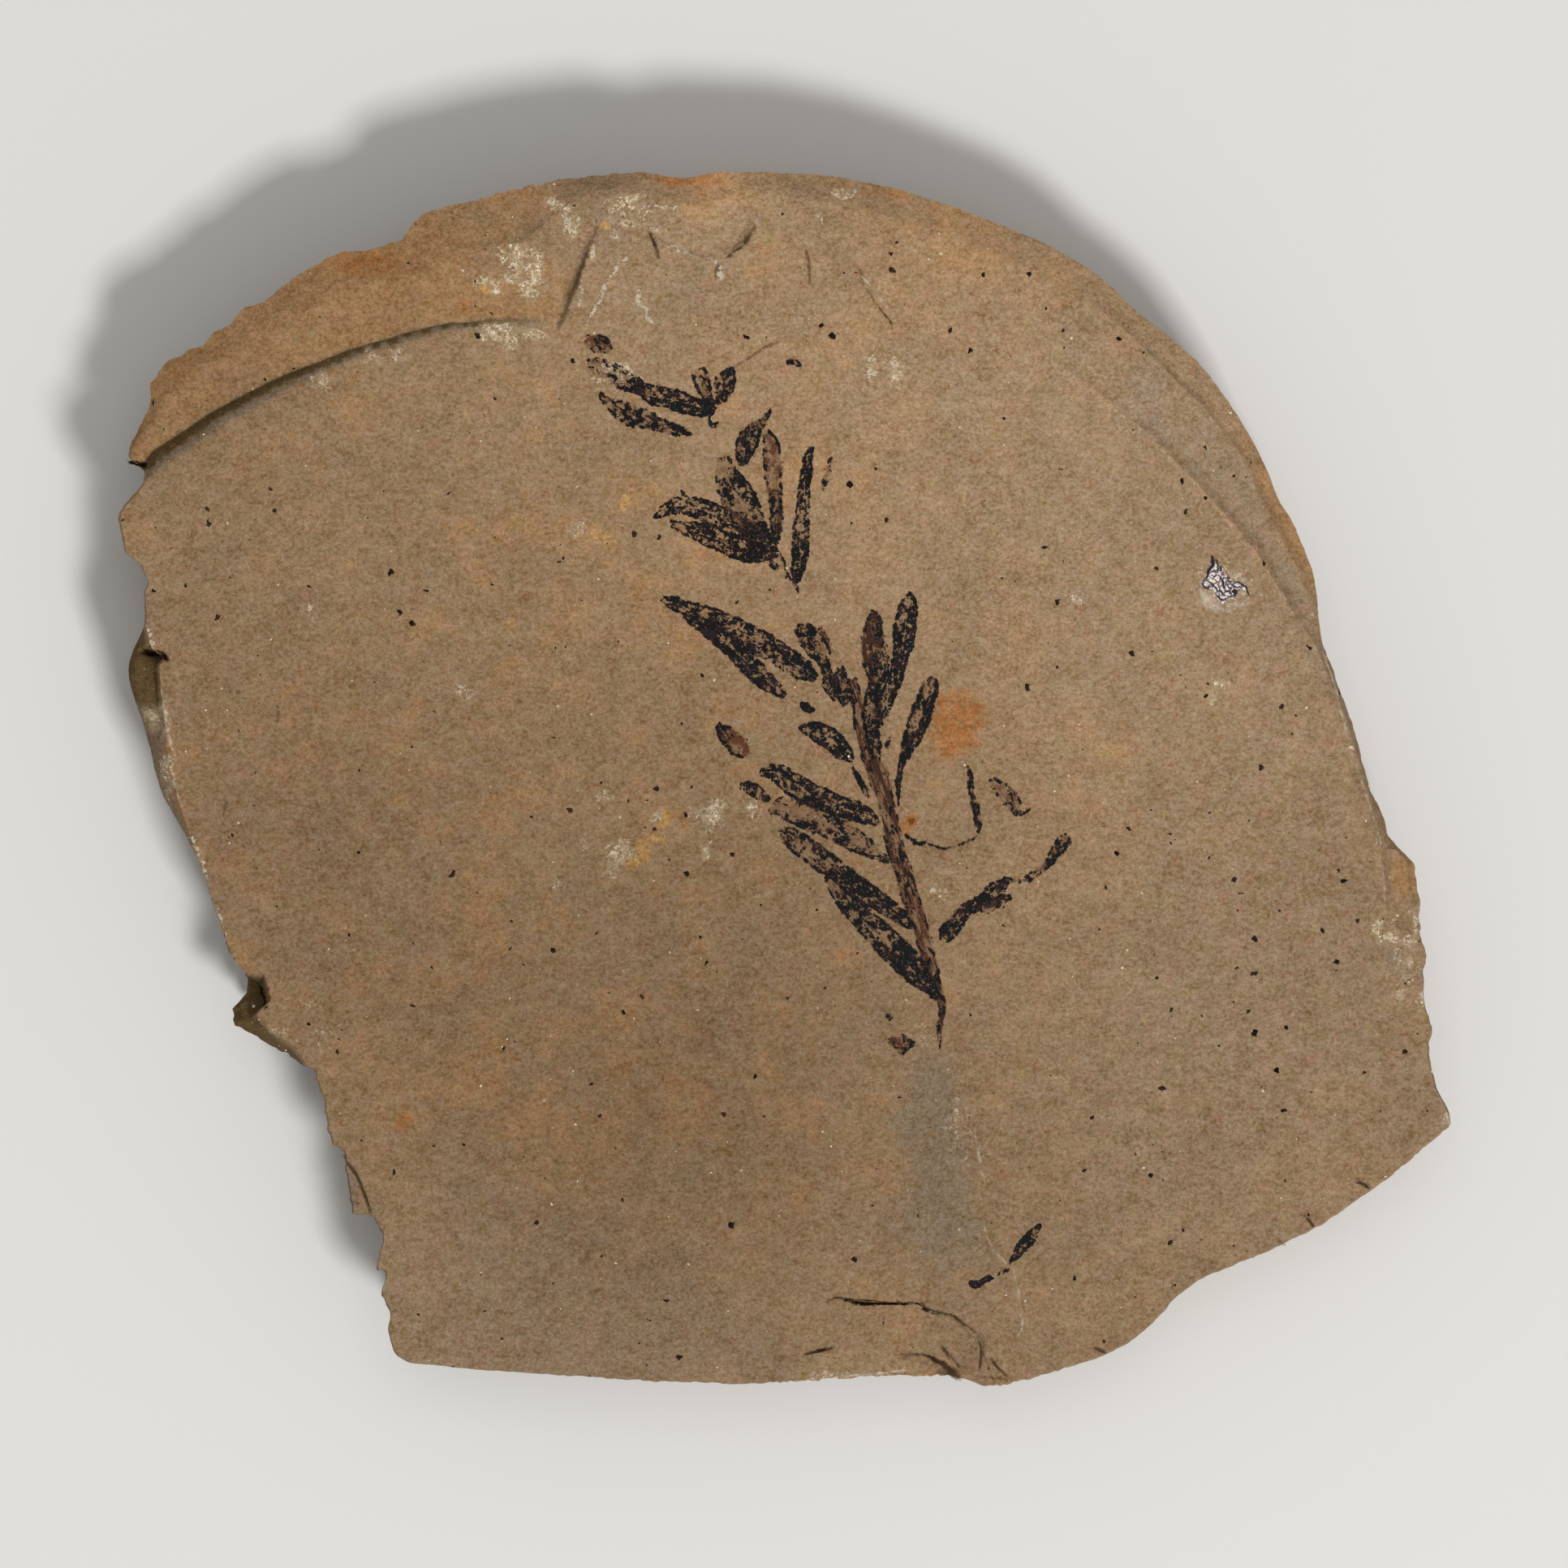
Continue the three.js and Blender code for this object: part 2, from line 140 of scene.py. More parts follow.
bpy.ops.mesh.primitive_plane_add(size=FLOOR_SIZE, location=(0, 0, -FLOOR_DROP))
floor = bpy.context.object
floor.name = "floor"
paint = bpy.data.materials.new("matt pale floor")
paint.use_nodes = True
set_sockets(paint.node_tree.nodes["Principled BSDF"], Base_Color=FLOOR_COLOUR, Roughness=0.9)
floor.data.materials.append(paint)
print("sky's share:", SKY_SHARE, " floor, m:", FLOOR_SIZE)

# %% [markdown]
# ## The shape of the stone
# Shale breaks in steps along its bedding. The plate's outline and each step's edge are lines
# that go once round the middle, so each one can be written as a distance from the middle for
# every direction. The lines below are the solid's own, in millimetres, but for a few points:
# the left break's edge, the steps near -13 degrees and one point of the lower edge are nearer
# to the real plate, by less than a millimetre.
#
# A grid of rings would crowd the middle and stretch at the rim. Instead the lines become fixed
# edges of one triangulation, with loose points between them, close together only at the steps.

# %% The plate's outline, clockwise, in millimetres
north_rim = [
    (-59.3, 28.9), (-58.9, 30.1), (-57, 34), (-57.3, 35.6), (-55.8, 37.5), (-53.9, 38.7),
    (-52.4, 39.1), (-51.7, 40.2), (-50, 40.9), (-49, 42.3), (-47.2, 43), (-45.2, 44.6), (-41.2, 47),
    (-39.9, 47.5), (-36.4, 47.9), (-34.4, 48.7), (-33.1, 50.6), (-31.8, 51.3), (-29.7, 51.8),
    (-24, 53.3), (-19.4, 54.2), (-13.3, 54.8), (-11.4, 54.5), (-9.4, 54.1), (-7.1, 54.5),
    (-5.5, 54.8), (-.4, 54.6), (4, 54.4), (9.6, 53.3), (15.4, 51.5),
]
east_rim = [
    (18.9, 50.1), (23.7, 48.2), (27.9, 45.7), (29.8, 44.1), (32.1, 41.6), (33.7, 40.7), (35.3, 39.3),
    (37.7, 37.2), (40.4, 33.4), (42.4, 30.2), (43.8, 27.2), (44.6, 24.6), (45.6, 23.9), (46.8, 20.8),
    (47.7, 18.7), (48.1, 16.2), (48.1, 14.2), (48.5, 12), (49.5, 10.2), (50, 8), (51.4, 4.7),
    (52.2, 1.1), (52.9, -1.1), (54.3, -4), (54.4, -5.1), (56.8, -7.6), (57.3, -10.9), (57.3, -14.1),
    (57.9, -15.9), (57.6, -17.5), (57.7, -20.3), (58.4, -22.7), (58, -24.2), (58.7, -27.7),
    (60, -30.2), (60, -31.2),
]
south_edge = [
    (56.9, -33.9), (53, -37), (48, -40.4), (43.9, -42.4), (37.4, -45), (35.3, -46.6), (33.5, -48.7),
    (30.9, -50.9), (27.2, -52.6), (25.4, -53), (20.2, -54.6), (17.9, -54.8), (16.2, -54.2),
    (14.4, -53.8), (10.1, -53.8), (1, -54.3), (-3.9, -54.5), (-12, -54.2), (-26.7, -53.2),
    (-33.8, -52.5), (-35, -51.8),
]
west_break = [
    (-35.7, -49.4), (-35.3, -48.2), (-36.4, -46.5), (-35.9, -45.1), (-36.9, -44.2), (-36.2, -41.9),
    (-37.3, -39.5), (-39, -39.3), (-39.8, -34), (-40.8, -33.1), (-41.6, -29.1), (-42.3, -26.4),
    (-48.3, -23.1), (-49.7, -22.2), (-50, -20.8), (-48.7, -19.4), (-48.6, -18.1), (-50.3, -15.7),
    (-50.6, -14), (-52.5, -7.6), (-53.9, -5), (-56.2, -1.2), (-57.4, 4.2), (-59.2, 9.1),
    (-59.3, 10.6), (-57.4, 13.8), (-57.6, 16.8), (-57.1, 17.6), (-58.1, 19.6), (-59.3, 20.2),
    (-60, 23.7), (-59.5, 24.6), (-57.7, 26.7), (-57.6, 28),
]
outline = north_rim + east_rim + south_edge + west_break
print("outline points:", len(outline))

# %% The edges of the steps inside it
north_crest = [
    (-57.4, 26.9), (-53.9, 29.2), (-49.7, 32.3), (-46.3, 34.2), (-42.2, 36.2), (-38, 37.9),
    (-33.8, 39.3), (-29.7, 40.4), (-26.7, 40.7), (-19.8, 40.9), (-17.9, 46.6), (-16.8, 49.3),
    (-12.2, 49.1), (-10.2, 47.8), (-6.3, 46.5), (-2.6, 48.7), (2.2, 47.4), (6.9, 45.7), (11.2, 43),
    (17, 41.2), (23.6, 37.9), (28.7, 34.2), (34, 29.9), (39.3, 24.2), (42.4, 20.6), (44.6, 17),
    (47.9, 11.7), (50.6, 5.1), (52.6, -1.5), (53.6, -6.6), (54, -12.6), (56.8, -14.6),
]
west_crest = [
    (-42.1, -26.7), (-44, -24), (-46, -22.8), (-47.5, -21.1), (-46, -19.9), (-46.8, -17.4),
    (-48.9, -17.6), (-51.7, -10.1), (-53.5, -4.6), (-54.6, -1.2), (-55.3, 1.4), (-55.7, 5.5),
    (-56.1, 8.6), (-56.2, 10.1), (-55.6, 10.9), (-56.8, 11.7), (-57.4, 13.8),
]
south_crest = [
    (18.6, -53.2), (17.6, -50.7), (15.2, -48.3), (11.6, -47.1), (4.6, -46.6), (2, -50), (.5, -53.4),
]
shelf_crest = [
    (13.4, 49.2), (21.8, 45.7), (29, 41.9), (34.8, 36.2), (37.7, 33.4), (41, 29.2), (42.7, 25.4),
    (46, 19.2), (47.7, 14.2),
]
print("step edge points:", sum(map(len, (north_crest, west_crest, south_crest, shelf_crest))))

# %% The step sizes
# Direction in degrees, then the first step's width and the drops below the face at its foot,
# on the lip, on the bench, on the lower shelf and at the top of the side.
step_stations = np.array([
    (-147, .4, .1, .2, .3, .4, .7), (-91, .3, .1, .2, .3, .4, .8), (-83, .3, .4, .4, .5, .8, 1.2),
    (-75, .3, .6, .6, .8, 1.8, 2.6), (-70, .3, .2, .3, .3, .4, .8), (-19, .3, .1, .2, .3, .4, .7),
    (-14.2, .4, .05, .1, .15, .3, .8), (-12, .5, .4, .5, .7, 1, 1.6), (0, .6, .8, .9, 1.1, 1.4, 2),
    (14, .5, .7, .8, .9, 1.3, 2), (25, .5, .6, .7, .8, 1.4, 2.2), (35, .5, .5, .6, .7, 1.3, 2.2),
    (45, .4, .3, .3, .4, 1, 2), (50, .4, .05, .1, .3, .7, 1.8), (62, .5, .05, .1, .2, .4, 1.6),
    (75, .5, .05, .1, .2, .3, 1.5), (97, .5, .1, .1, .2, .4, 1.4), (117, .4, .1, .1, .2, .5, 1.6),
    (123, .6, .3, .3, .4, .6, 1.7), (130, .9, .6, .6, .7, .8, 1.8), (137, 1.2, .8, .8, .9, 1, 1.9),
    (144, 1.6, 1.1, 1.1, 1.1, 1.2, 2), (154, 2.2, 1.5, 1.5, 1.5, 1.6, 2.2),
    (156, .3, .1, .2, .3, .4, .7), (166, .3, .1, .2, .3, .4, .9), (168, .5, 1.6, 1.7, 1.8, 2, 2.8),
    (176, .5, 1.2, 1.4, 1.6, 1.9, 2.7), (182, .5, .9, 1.1, 1.3, 1.6, 2.4),
    (190, .4, .6, .8, 1, 1.4, 2.2), (200, .6, 2.4, 2.8, 3.2, 3.6, 4.4),
    (208, .6, 2.4, 2.9, 3.3, 3.7, 4.5), (213, .4, .1, .2, .3, .4, .7),
])
# The side's slope: share of its height, and how far in it lies there.
side_layers = np.array([
    (1, 0), (.86, .1), (.8, 1), (.58, .6), (.52, 1.5), (.3, 1), (.24, 2.1), (.12, 2.5),
])

PLATE_THICKNESS = 14
FACE_WAVE = 0.18
TROUGH_DEPTH = 0.55
TROUGH_WIDTH = 7
LIP_RUN = 0.6
SHELF_RUN = 0.4
STEP_SHARE = 0.5
LIP_SHARE = 0.15
SIDE_ROUGHNESS = 0.9
SIDE_HOLLOWS = 1.5
BENCH_ROUGHNESS = 0.16
UNDERCUT = 5
REST_LEDGE = 1.1
BED_DIP = 0.03
REST_INSET = 9.5
print("stations:", len(step_stations), " side layers:", len(side_layers))

# %% Chance and unevenness
TABLE_SIZE = 7200            # directions in every table that goes round the plate
ANGLES = np.arange(TABLE_SIZE) * 360 / TABLE_SIZE


def chance(i, j):
    """A repeatable value from 0 to 1 for each pair of whole numbers."""
    mixed = (np.asarray(i, np.int64) * 374761393 + np.int64(j) * 668265263) & 0xFFFFFFFF
    mixed = ((mixed ^ (mixed >> 13)) * 1274126177) & 0xFFFFFFFF
    return (mixed ^ (mixed >> 16)) / 4294967295


def ease(t):
    """0 to 1 with a soft start and a soft end."""
    t = np.clip(t, 0, 1)
    return t * t * (3 - 2 * t)


def mix(a, b, t):
    return a + (b - a) * t


def ragged(angle, lumps, row):
    """Unevenness round the plate, from -1 to 1, with a number of lumps in one turn."""
    place = np.mod(angle, 360) / 360 * lumps
    cell = np.floor(place)
    here = chance(cell % lumps, row)
    return mix(here, chance((cell + 1) % lumps, row), ease(place - cell)) * 2 - 1


def broken(angle, row):
    return 0.6 * ragged(angle, 46, row) + 0.4 * ragged(angle, 130, row + 50)


def swell(x, y, size, row):
    """Unevenness over the face, from -1 to 1, with lumps of one size in millimetres."""
    u, v = x / size, y / size
    i, j = np.floor(u), np.floor(v)

    def corner(right, up):
        return chance((i + right) + 7919 * (j + up), row)

    low = mix(corner(0, 0), corner(1, 0), ease(u - i))
    high = mix(corner(0, 1), corner(1, 1), ease(u - i))
    return mix(low, high, ease(v - j)) * 2 - 1


print("unevenness to the right:", round(float(broken(0, 5)), 3))

# %% Distance of a line from the middle, for every direction
def polar(angle, radius):
    return np.stack([radius * np.cos(np.radians(angle)), radius * np.sin(np.radians(angle))], -1)


def angle_of(x, y):
    return np.degrees(np.arctan2(y, x))


def reach(line):
    """Infinity where the line doesn't pass."""
    radius = np.full(TABLE_SIZE, np.inf)
    direction = polar(ANGLES, 1)
    for a, b in zip(line[:-1], line[1:]):
        span = np.mod(angle_of(*a) - angle_of(*b), 360)
        passed = (np.mod(angle_of(*a) - ANGLES, 360) <= span) & np.isinf(radius)
        edge = (b[0] - a[0], b[1] - a[1])
        across = direction[:, 0] * edge[1] - direction[:, 1] * edge[0]
        radius[passed] = (a[0] * edge[1] - a[1] * edge[0]) / across[passed]
    return radius


def round_off(table, spread):
    """A table with its corners softened over a few of its steps."""
    steps = np.arange(-3 * spread, 3 * spread + 1)
    weights = np.exp(-0.5 * (steps / spread) ** 2)
    padded = np.concatenate([table[-3 * spread:], table, table[:3 * spread]])
    return np.convolve(padded, weights / weights.sum(), "valid")


def look_up(table, angle):
    return np.interp(np.mod(angle, 360), np.append(ANGLES, 360), np.append(table, table[0]))


def round_the_plate(stations, angle):
    """A value given at a few directions, as (degrees, value), eased in between."""
    stations = sorted((at % 360, value) for at, value in stations)
    first, last = stations[0], stations[-1]
    at, values = np.array([(last[0] - 360, last[1]), *stations, (first[0] + 360, first[1])]).T
    angle = np.mod(angle, 360)
    i = np.clip(np.searchsorted(at, angle, side="right") - 1, 0, len(at) - 2)
    return mix(values[i], values[i + 1], ease((angle - at[i]) / (at[i + 1] - at[i])))


cut = reach(outline + outline[:1])
print("rim's distance from the middle, mm:", round(cut.min(), 1), "to", round(cut.max(), 1))

# %% Tables of the steps
# The rim is smooth where the slab broke in one arc, and finely toothed on the left. Each list
# has directions in degrees and a value: the teeth's size in millimetres, and a share.
RAGGEDNESS = [
    (0, .1), (30, .05), (75, .06), (97, .12), (112, .2), (140, .22), (158, .12), (166, .05),
    (192, .05), (198, .25), (205, .25), (214, .34), (231, .38), (234.5, .08), (238, .06), (262, .12),
    (278, .2), (290, .2), (300, .1), (325, .16), (345, .14),
]
SMOOTHNESS = [
    (350, 0), (10, .8), (45, 1), (90, 1), (103, 0), (164, 0), (169, .9), (190, .9), (196, 0),
    (240, 0), (300, .5), (325, 0),
]
ARC_SPREAD = 26              # table steps
CORNER_SPREAD = 3
NARROW_STEP = 1.3            # less than this between crest and rim is only a worn edge

rough = round_the_plate(RAGGEDNESS, ANGLES)
rim = mix(round_off(cut, CORNER_SPREAD), round_off(cut, ARC_SPREAD),
          round_the_plate(SMOOTHNESS, ANGLES))
rim -= rough * (1 + 0.5 * ragged(ANGLES, 410, 3) + 0.5 * ragged(ANGLES, 1100, 4))
column = {name: round_the_plate(step_stations[:, [0, i + 1]], ANGLES)
          for i, name in enumerate(["run", "foot", "lip", "bench", "shelf", "rim"])}
wear = 0.2 + 0.1 * broken(ANGLES, 5)
crests = [reach(line) for line in (north_crest, west_crest, south_crest)]
crest = np.minimum.reduce([rim - wear, *crests])
stepped = (rim - crest) > NARROW_STEP
crest = np.where(stepped, round_off(crest, CORNER_SPREAD), crest)
crest = np.minimum(crest - np.where(stepped, 0.06 * (1 + ragged(ANGLES, 700, 6)), 0), rim - 0.12)
foot = crest + np.minimum(column["run"], STEP_SHARE * (rim - crest))
lip = foot + np.minimum(LIP_RUN, LIP_SHARE * (rim - foot))
shelf_line = reach(shelf_crest)
shelf_top = np.where(np.isfinite(shelf_line), shelf_line, mix(lip, rim, 0.6))
shelf_top = np.clip(shelf_top, mix(lip, rim, 0.2), mix(lip, rim, 0.8))
shelf_foot = shelf_top + np.minimum(SHELF_RUN, STEP_SHARE * (rim - shelf_top))
step_lines = (foot, lip, shelf_top, shelf_foot)
print("directions with a step:", int(stepped.sum()), "of", TABLE_SIZE)

# %% [markdown]
# ## Heights over the stone
# The face carries low swells and one shallow trough. Outside a step's edge the stone drops in
# the stages of the tables. On top of that come the marks of the break itself: small scarps,
# where a crack jumped to the next bed, and open cracks. Each of these is a line on the face
# with its own depth across, so one function of x and y gives the height anywhere, and the
# leaves and grains can use it too.

# %% Small breaks on the face, in millimetres
# Scarps: depth, width of the scarp's face, how far the low side runs on, and the points, in
# an order that keeps the low side on their right.
scarps = [
    (.5, .6, 1.5, [(-17, 49.7), (-17.5, 47.8), (-18.1, 46.3), (-18.7, 44.8), (-19.4, 43.3),
     (-19.9, 41.2)]),
    (.4, .35, .7, [(-12.2, 49.5), (-11.7, 48.5), (-11.4, 47.4), (-11.3, 46.5)]),
    (.45, .5, 1.3, [(-3, 50.7), (-3, 49.5), (-3.5, 48.4), (-4.2, 47.7), (-5, 46.8)]),
    (.15, .2, 1.5, [(-5.9, 46.4), (-7.1, 46.6), (-8.1, 47.1), (-9.9, 47.7), (-11, 48.6)]),
    (.25, .15, .6, [(-5.9, 46.5), (-6.1, 45.6), (-6, 44.6)]),
    (.16, .18, .5, [(2, 48.1), (2.3, 46.3), (2.3, 44.4)]),
    (.14, .18, .5, [(7, 45.5), (8.2, 43.9), (9.8, 41.2)]),
    (.3, .3, 1.2, [(15.6, -53.8), (14.9, -53), (13.9, -52.3), (12.7, -51.7), (11.2, -51.9),
     (9.8, -52.8)]),
]
# Cracks: depth, width and points.
cracks = [
    (.4, .3, [(3.2, -47), (4.7, -46.5), (6.8, -47), (8.7, -47.1), (11.8, -47.1), (13.4, -47.8),
     (15.2, -48.2), (16.3, -49), (17.2, -49.7)]),
    (.15, .24, [(17.2, -49.7), (17.7, -51), (17.6, -52.5), (17.4, -53.8)]),
    (.25, .22, [(1.4, -51.7), (3.1, -51.4), (4.7, -51)]),
    (.25, .24, [(13.9, -50.8), (15, -51.9), (16, -53.2)]),
    (.25, .24, [(51.3, -36.1), (52.2, -36.4), (52.8, -37)]),
    (.25, .24, [(46.9, -39.3), (47.8, -40.4)]),
    (.25, .24, [(27.8, -51), (28.4, -51.3), (29.1, -51.7)]),
    (.3, .26, [(-39.8, -33.7), (-38.3, -35.7), (-37.6, -37.5), (-36.9, -39.6)]),
    (.2, .22, [(18.5, -51.9), (19.1, -52.8), (20.1, -53.6)]),
    (.7, .45, [(-58.2, 11.5), (-57.2, 11.3), (-56.2, 11.2), (-55.2, 10.6)]),
    (.5, .4, [(-60, 28.7), (-58.4, 28.4), (-56.9, 27.9)]),
]
print("scarps:", len(scarps), " cracks:", len(cracks))

# %% Beside a line, and between two directions
def beside(line, x, y):
    """Distance from a line, positive on its left, and the share of the way along it."""
    line = np.array(line)
    steps = np.diff(line, axis=0)
    lengths = np.hypot(*steps.T)
    starts = np.concatenate([[0], np.cumsum(lengths)])
    best = np.full(np.shape(x), np.inf)
    along = np.zeros(np.shape(x))
    for a, step, length, start in zip(line, steps, lengths, starts):
        t = np.clip(((x - a[0]) * step[0] + (y - a[1]) * step[1]) / length ** 2, 0, 1)
        away = np.hypot(x - a[0] - t * step[0], y - a[1] - t * step[1])
        left = step[0] * (y - a[1]) - step[1] * (x - a[0]) >= 0
        nearer = away < np.abs(best)
        best = np.where(nearer, np.where(left, away, -away), best)
        along = np.where(nearer, (start + t * length) / starts[-1], along)
    return best, along


def end_fade(along):
    return ease(along / 0.25) * ease((1 - along) / 0.25)


def between(angle, low, high, soft=4):
    """1 for the directions from low to high, eased over a few degrees."""
    turn = np.mod(angle - low + 180, 360) - 180
    left = np.mod(angle - high + 180, 360) - 180
    inside = np.mod(angle - low, 360) < np.mod(high - low, 360)
    nearest = np.minimum(np.abs(turn), np.abs(left))
    return np.where(inside, ease(0.5 + nearest / soft), ease(0.5 - nearest / soft))


print("from the first crack to the middle, mm:",
      round(abs(float(beside(cracks[0][-1], 0.0, 0.0)[0])), 1))

# %% The height of the face, and the drop beyond its edge
# Directions, in degrees, between which:
FLAKING = (195, 214)         # the lower beds flake in thin sheets
SAGGING = (118, 156)         # the first step bends over and doesn't break
WORN_LEFT = (160, 193)       # the benches are smoother
WORN_TOP = (20, 156)
TERRACE = 0.34               # thickness of the sheets that flake off the deep benches


def face_height(x, y):
    broad = np.sin(x * 0.075 + 1.1) * np.cos(y * 0.066 - 0.4)
    slant = np.sin(x * 0.05 + y * 0.13 + 2.0)
    away = np.clip((16 + (-28 - y) * 0.24 - x) / TROUGH_WIDTH, 0, 1)
    across = (1 - away) ** 2 * ease(away * 6)
    along = ease((y + 22) / -14) * ease((y + 54) / 8)
    return (PLATE_THICKNESS + FACE_WAVE * (broad + 0.5 * slant)
            - TROUGH_DEPTH * across * along)


def drop_at(angle, radius):
    """Depth below the face, stage by stage, out from the step's edge."""
    edges = [look_up(t, angle) for t in (crest, foot, lip, mix(lip, shelf_top, 0.5), shelf_top,
                                         shelf_foot, rim)]
    drops = [look_up(t, angle) for t in (
        column["foot"], column["lip"], mix(column["lip"], column["bench"], 0.6),
        column["bench"], column["shelf"], column["rim"])]
    sagging = between(angle, *SAGGING)
    total = np.zeros(np.shape(radius))
    before = 0
    for k, drop in enumerate(drops):
        t = np.clip((radius - edges[k]) / np.maximum(edges[k + 1] - edges[k], 1e-4), 0, 1)
        shape = mix(1 - (1 - t) ** 1.7, t ** 1.7, sagging) if k == 0 else t
        total += (drop - before) * shape
        before = drop
    return total


print("deepest drop at the rim, mm:", round(float(drop_at(ANGLES, rim).max()), 2))

# %% The height of the stone anywhere
def relief(x, y, drop, angle):
    """The fine unevenness that every broken surface keeps."""
    worn = np.clip(drop, 0, 1)
    fine = 0.018 * swell(x, y, 7, 1) + 0.010 * swell(x, y, 2.6, 2) + 0.006 * swell(x, y, 1.1, 3)
    bench = BENCH_ROUGHNESS * (0.5 * swell(x, y, 3.4, 4) + 0.3 * swell(x, y, 1.5, 5)
                               + 0.2 * swell(x, y, 0.7, 6))
    deep = ease((drop - 1.2) / 1.5) * between(angle, *FLAKING)
    bench *= 1 - 0.6 * between(angle, *WORN_LEFT) - 0.4 * between(angle, *WORN_TOP)
    sheets = (drop + 0.5 * swell(x, y, 5, 7)) / TERRACE
    terraced = (np.floor(sheets) + ease((sheets - np.floor(sheets)) * 3) - sheets) * TERRACE
    return fine + worn * bench - deep * terraced - 0.06


def top_height(x, y):
    angle = angle_of(x, y)
    drop = drop_at(angle, np.hypot(x, y))
    z = face_height(x, y) - drop + relief(x, y, drop, angle)
    for depth, width, fade, line in scarps:
        side, along = beside(line, x, y)
        low = np.maximum(-side, 0)
        z -= depth * end_fade(along) * ease(low / width) * np.exp(-low / fade)
    for depth, width, line in cracks:
        side, along = beside(line, x, y)
        open_end = ease(along / 0.2) * ease((1.02 - along) / 0.2)
        z -= depth * open_end * np.clip(1 - np.abs(side) / (0.5 * width), 0, 1) ** 0.7
    return z


print("face height in the middle, mm:", round(float(top_height(0.0, 0.0)), 2))

# %% Points along lines, and loose points between them
EDGE_SPACING = 0.33
LINE_SPACING = 0.4
FACE_SPACING = 0.74
STEP_SPACING = 0.44
UNDER_SPACING = 1.7
MARK_SPACING = 0.3           # along scarps and cracks
UNDER_LINE_SPACING = 0.9     # along the lines of the underside
GRID_WIDTH = 122             # of the loose points, a little over the plate's length


def along_line(points, spacing, closed=False):
    """Points at even steps along a line."""
    points = np.asarray(points, float)
    if closed:
        points = np.vstack([points, points[:1]])
    run = np.concatenate([[0], np.cumsum(np.hypot(*np.diff(points, axis=0).T))])
    count = max(int(round(run[-1] / spacing)), 2)
    wanted = np.linspace(0, run[-1], count + 1)
    if closed:
        wanted = wanted[:-1]
    return np.stack([np.interp(wanted, run, points[:, k]) for k in (0, 1)], -1)


def ring_line(table, spacing):
    return along_line(polar(ANGLES, table), spacing, closed=True)


def loose_points(spacing, row):
    """A jittered grid over the whole plate."""
    count = int(GRID_WIDTH / spacing)
    i, j = np.meshgrid(np.arange(count), np.arange(count))
    cell = i + 5003 * j
    x = (i + 0.5 * (j % 2) + 0.5 * chance(cell, row)) * spacing - GRID_WIDTH / 2
    y = (j + 0.5 * chance(cell, row + 1)) * spacing - GRID_WIDTH / 2
    return x.ravel(), y.ravel()


print("points round the rim:", len(ring_line(rim, EDGE_SPACING)))

# %% Triangles between the lines
def stretches(mask):
    """Runs of neighbouring directions for which the mask holds."""
    if mask.all():
        return [np.arange(TABLE_SIZE)]
    first = int(np.flatnonzero(~mask)[0])
    turned = (np.arange(TABLE_SIZE) + first) % TABLE_SIZE
    edges = np.flatnonzero(np.diff(mask[turned].astype(int)))
    return [turned[a + 1:b + 1] for a, b in zip(edges[::2], edges[1::2])]


def triangulate(loops, lines, x, y):
    """Triangles inside the first loop that keep every loop and line as edges."""
    points, edges = [], []
    for number, line in enumerate(loops + lines):
        start = len(points)
        points.extend(line)
        last = len(line) if number < len(loops) else len(line) - 1
        edges.extend((start + k, start + (k + 1) % len(line)) for k in range(last))
    points.extend(np.stack([x, y], -1))
    found = delaunay_2d_cdt([Vector(p) for p in points], edges, [], 1, 1e-5)
    flat = np.array([tuple(p) for p in found[0]])
    place_of = {old: new for new, olds in enumerate(found[3]) for old in olds}
    border = [place_of[k] for k in range(len(loops[0]))]
    triangles = np.array(found[2])
    a, b, c = (flat[triangles[:, k]] for k in range(3))
    area = (b[:, 0] - a[:, 0]) * (c[:, 1] - a[:, 1]) - (b[:, 1] - a[:, 1]) * (c[:, 0] - a[:, 0])
    triangles[area < 0] = triangles[area < 0][:, ::-1]
    return flat, border, triangles


WIDE_STEP = 2.0              # from crest to rim, where every line of a step becomes an edge
print("stretches with a wide step:", len(stretches((rim - crest) > WIDE_STEP)))

# %% The upper side
CLEAR_OF_RIM = 0.2           # how far loose points stay from each kind of line
CLEAR_OF_STEPS = 0.13
CLEAR_OF_MARKS = 0.5
CRACK_SPREAD = 0.17          # from a crack's middle to the rows of points beside it
SCARP_SPREADS = (0.2, 0.6, 1.2)


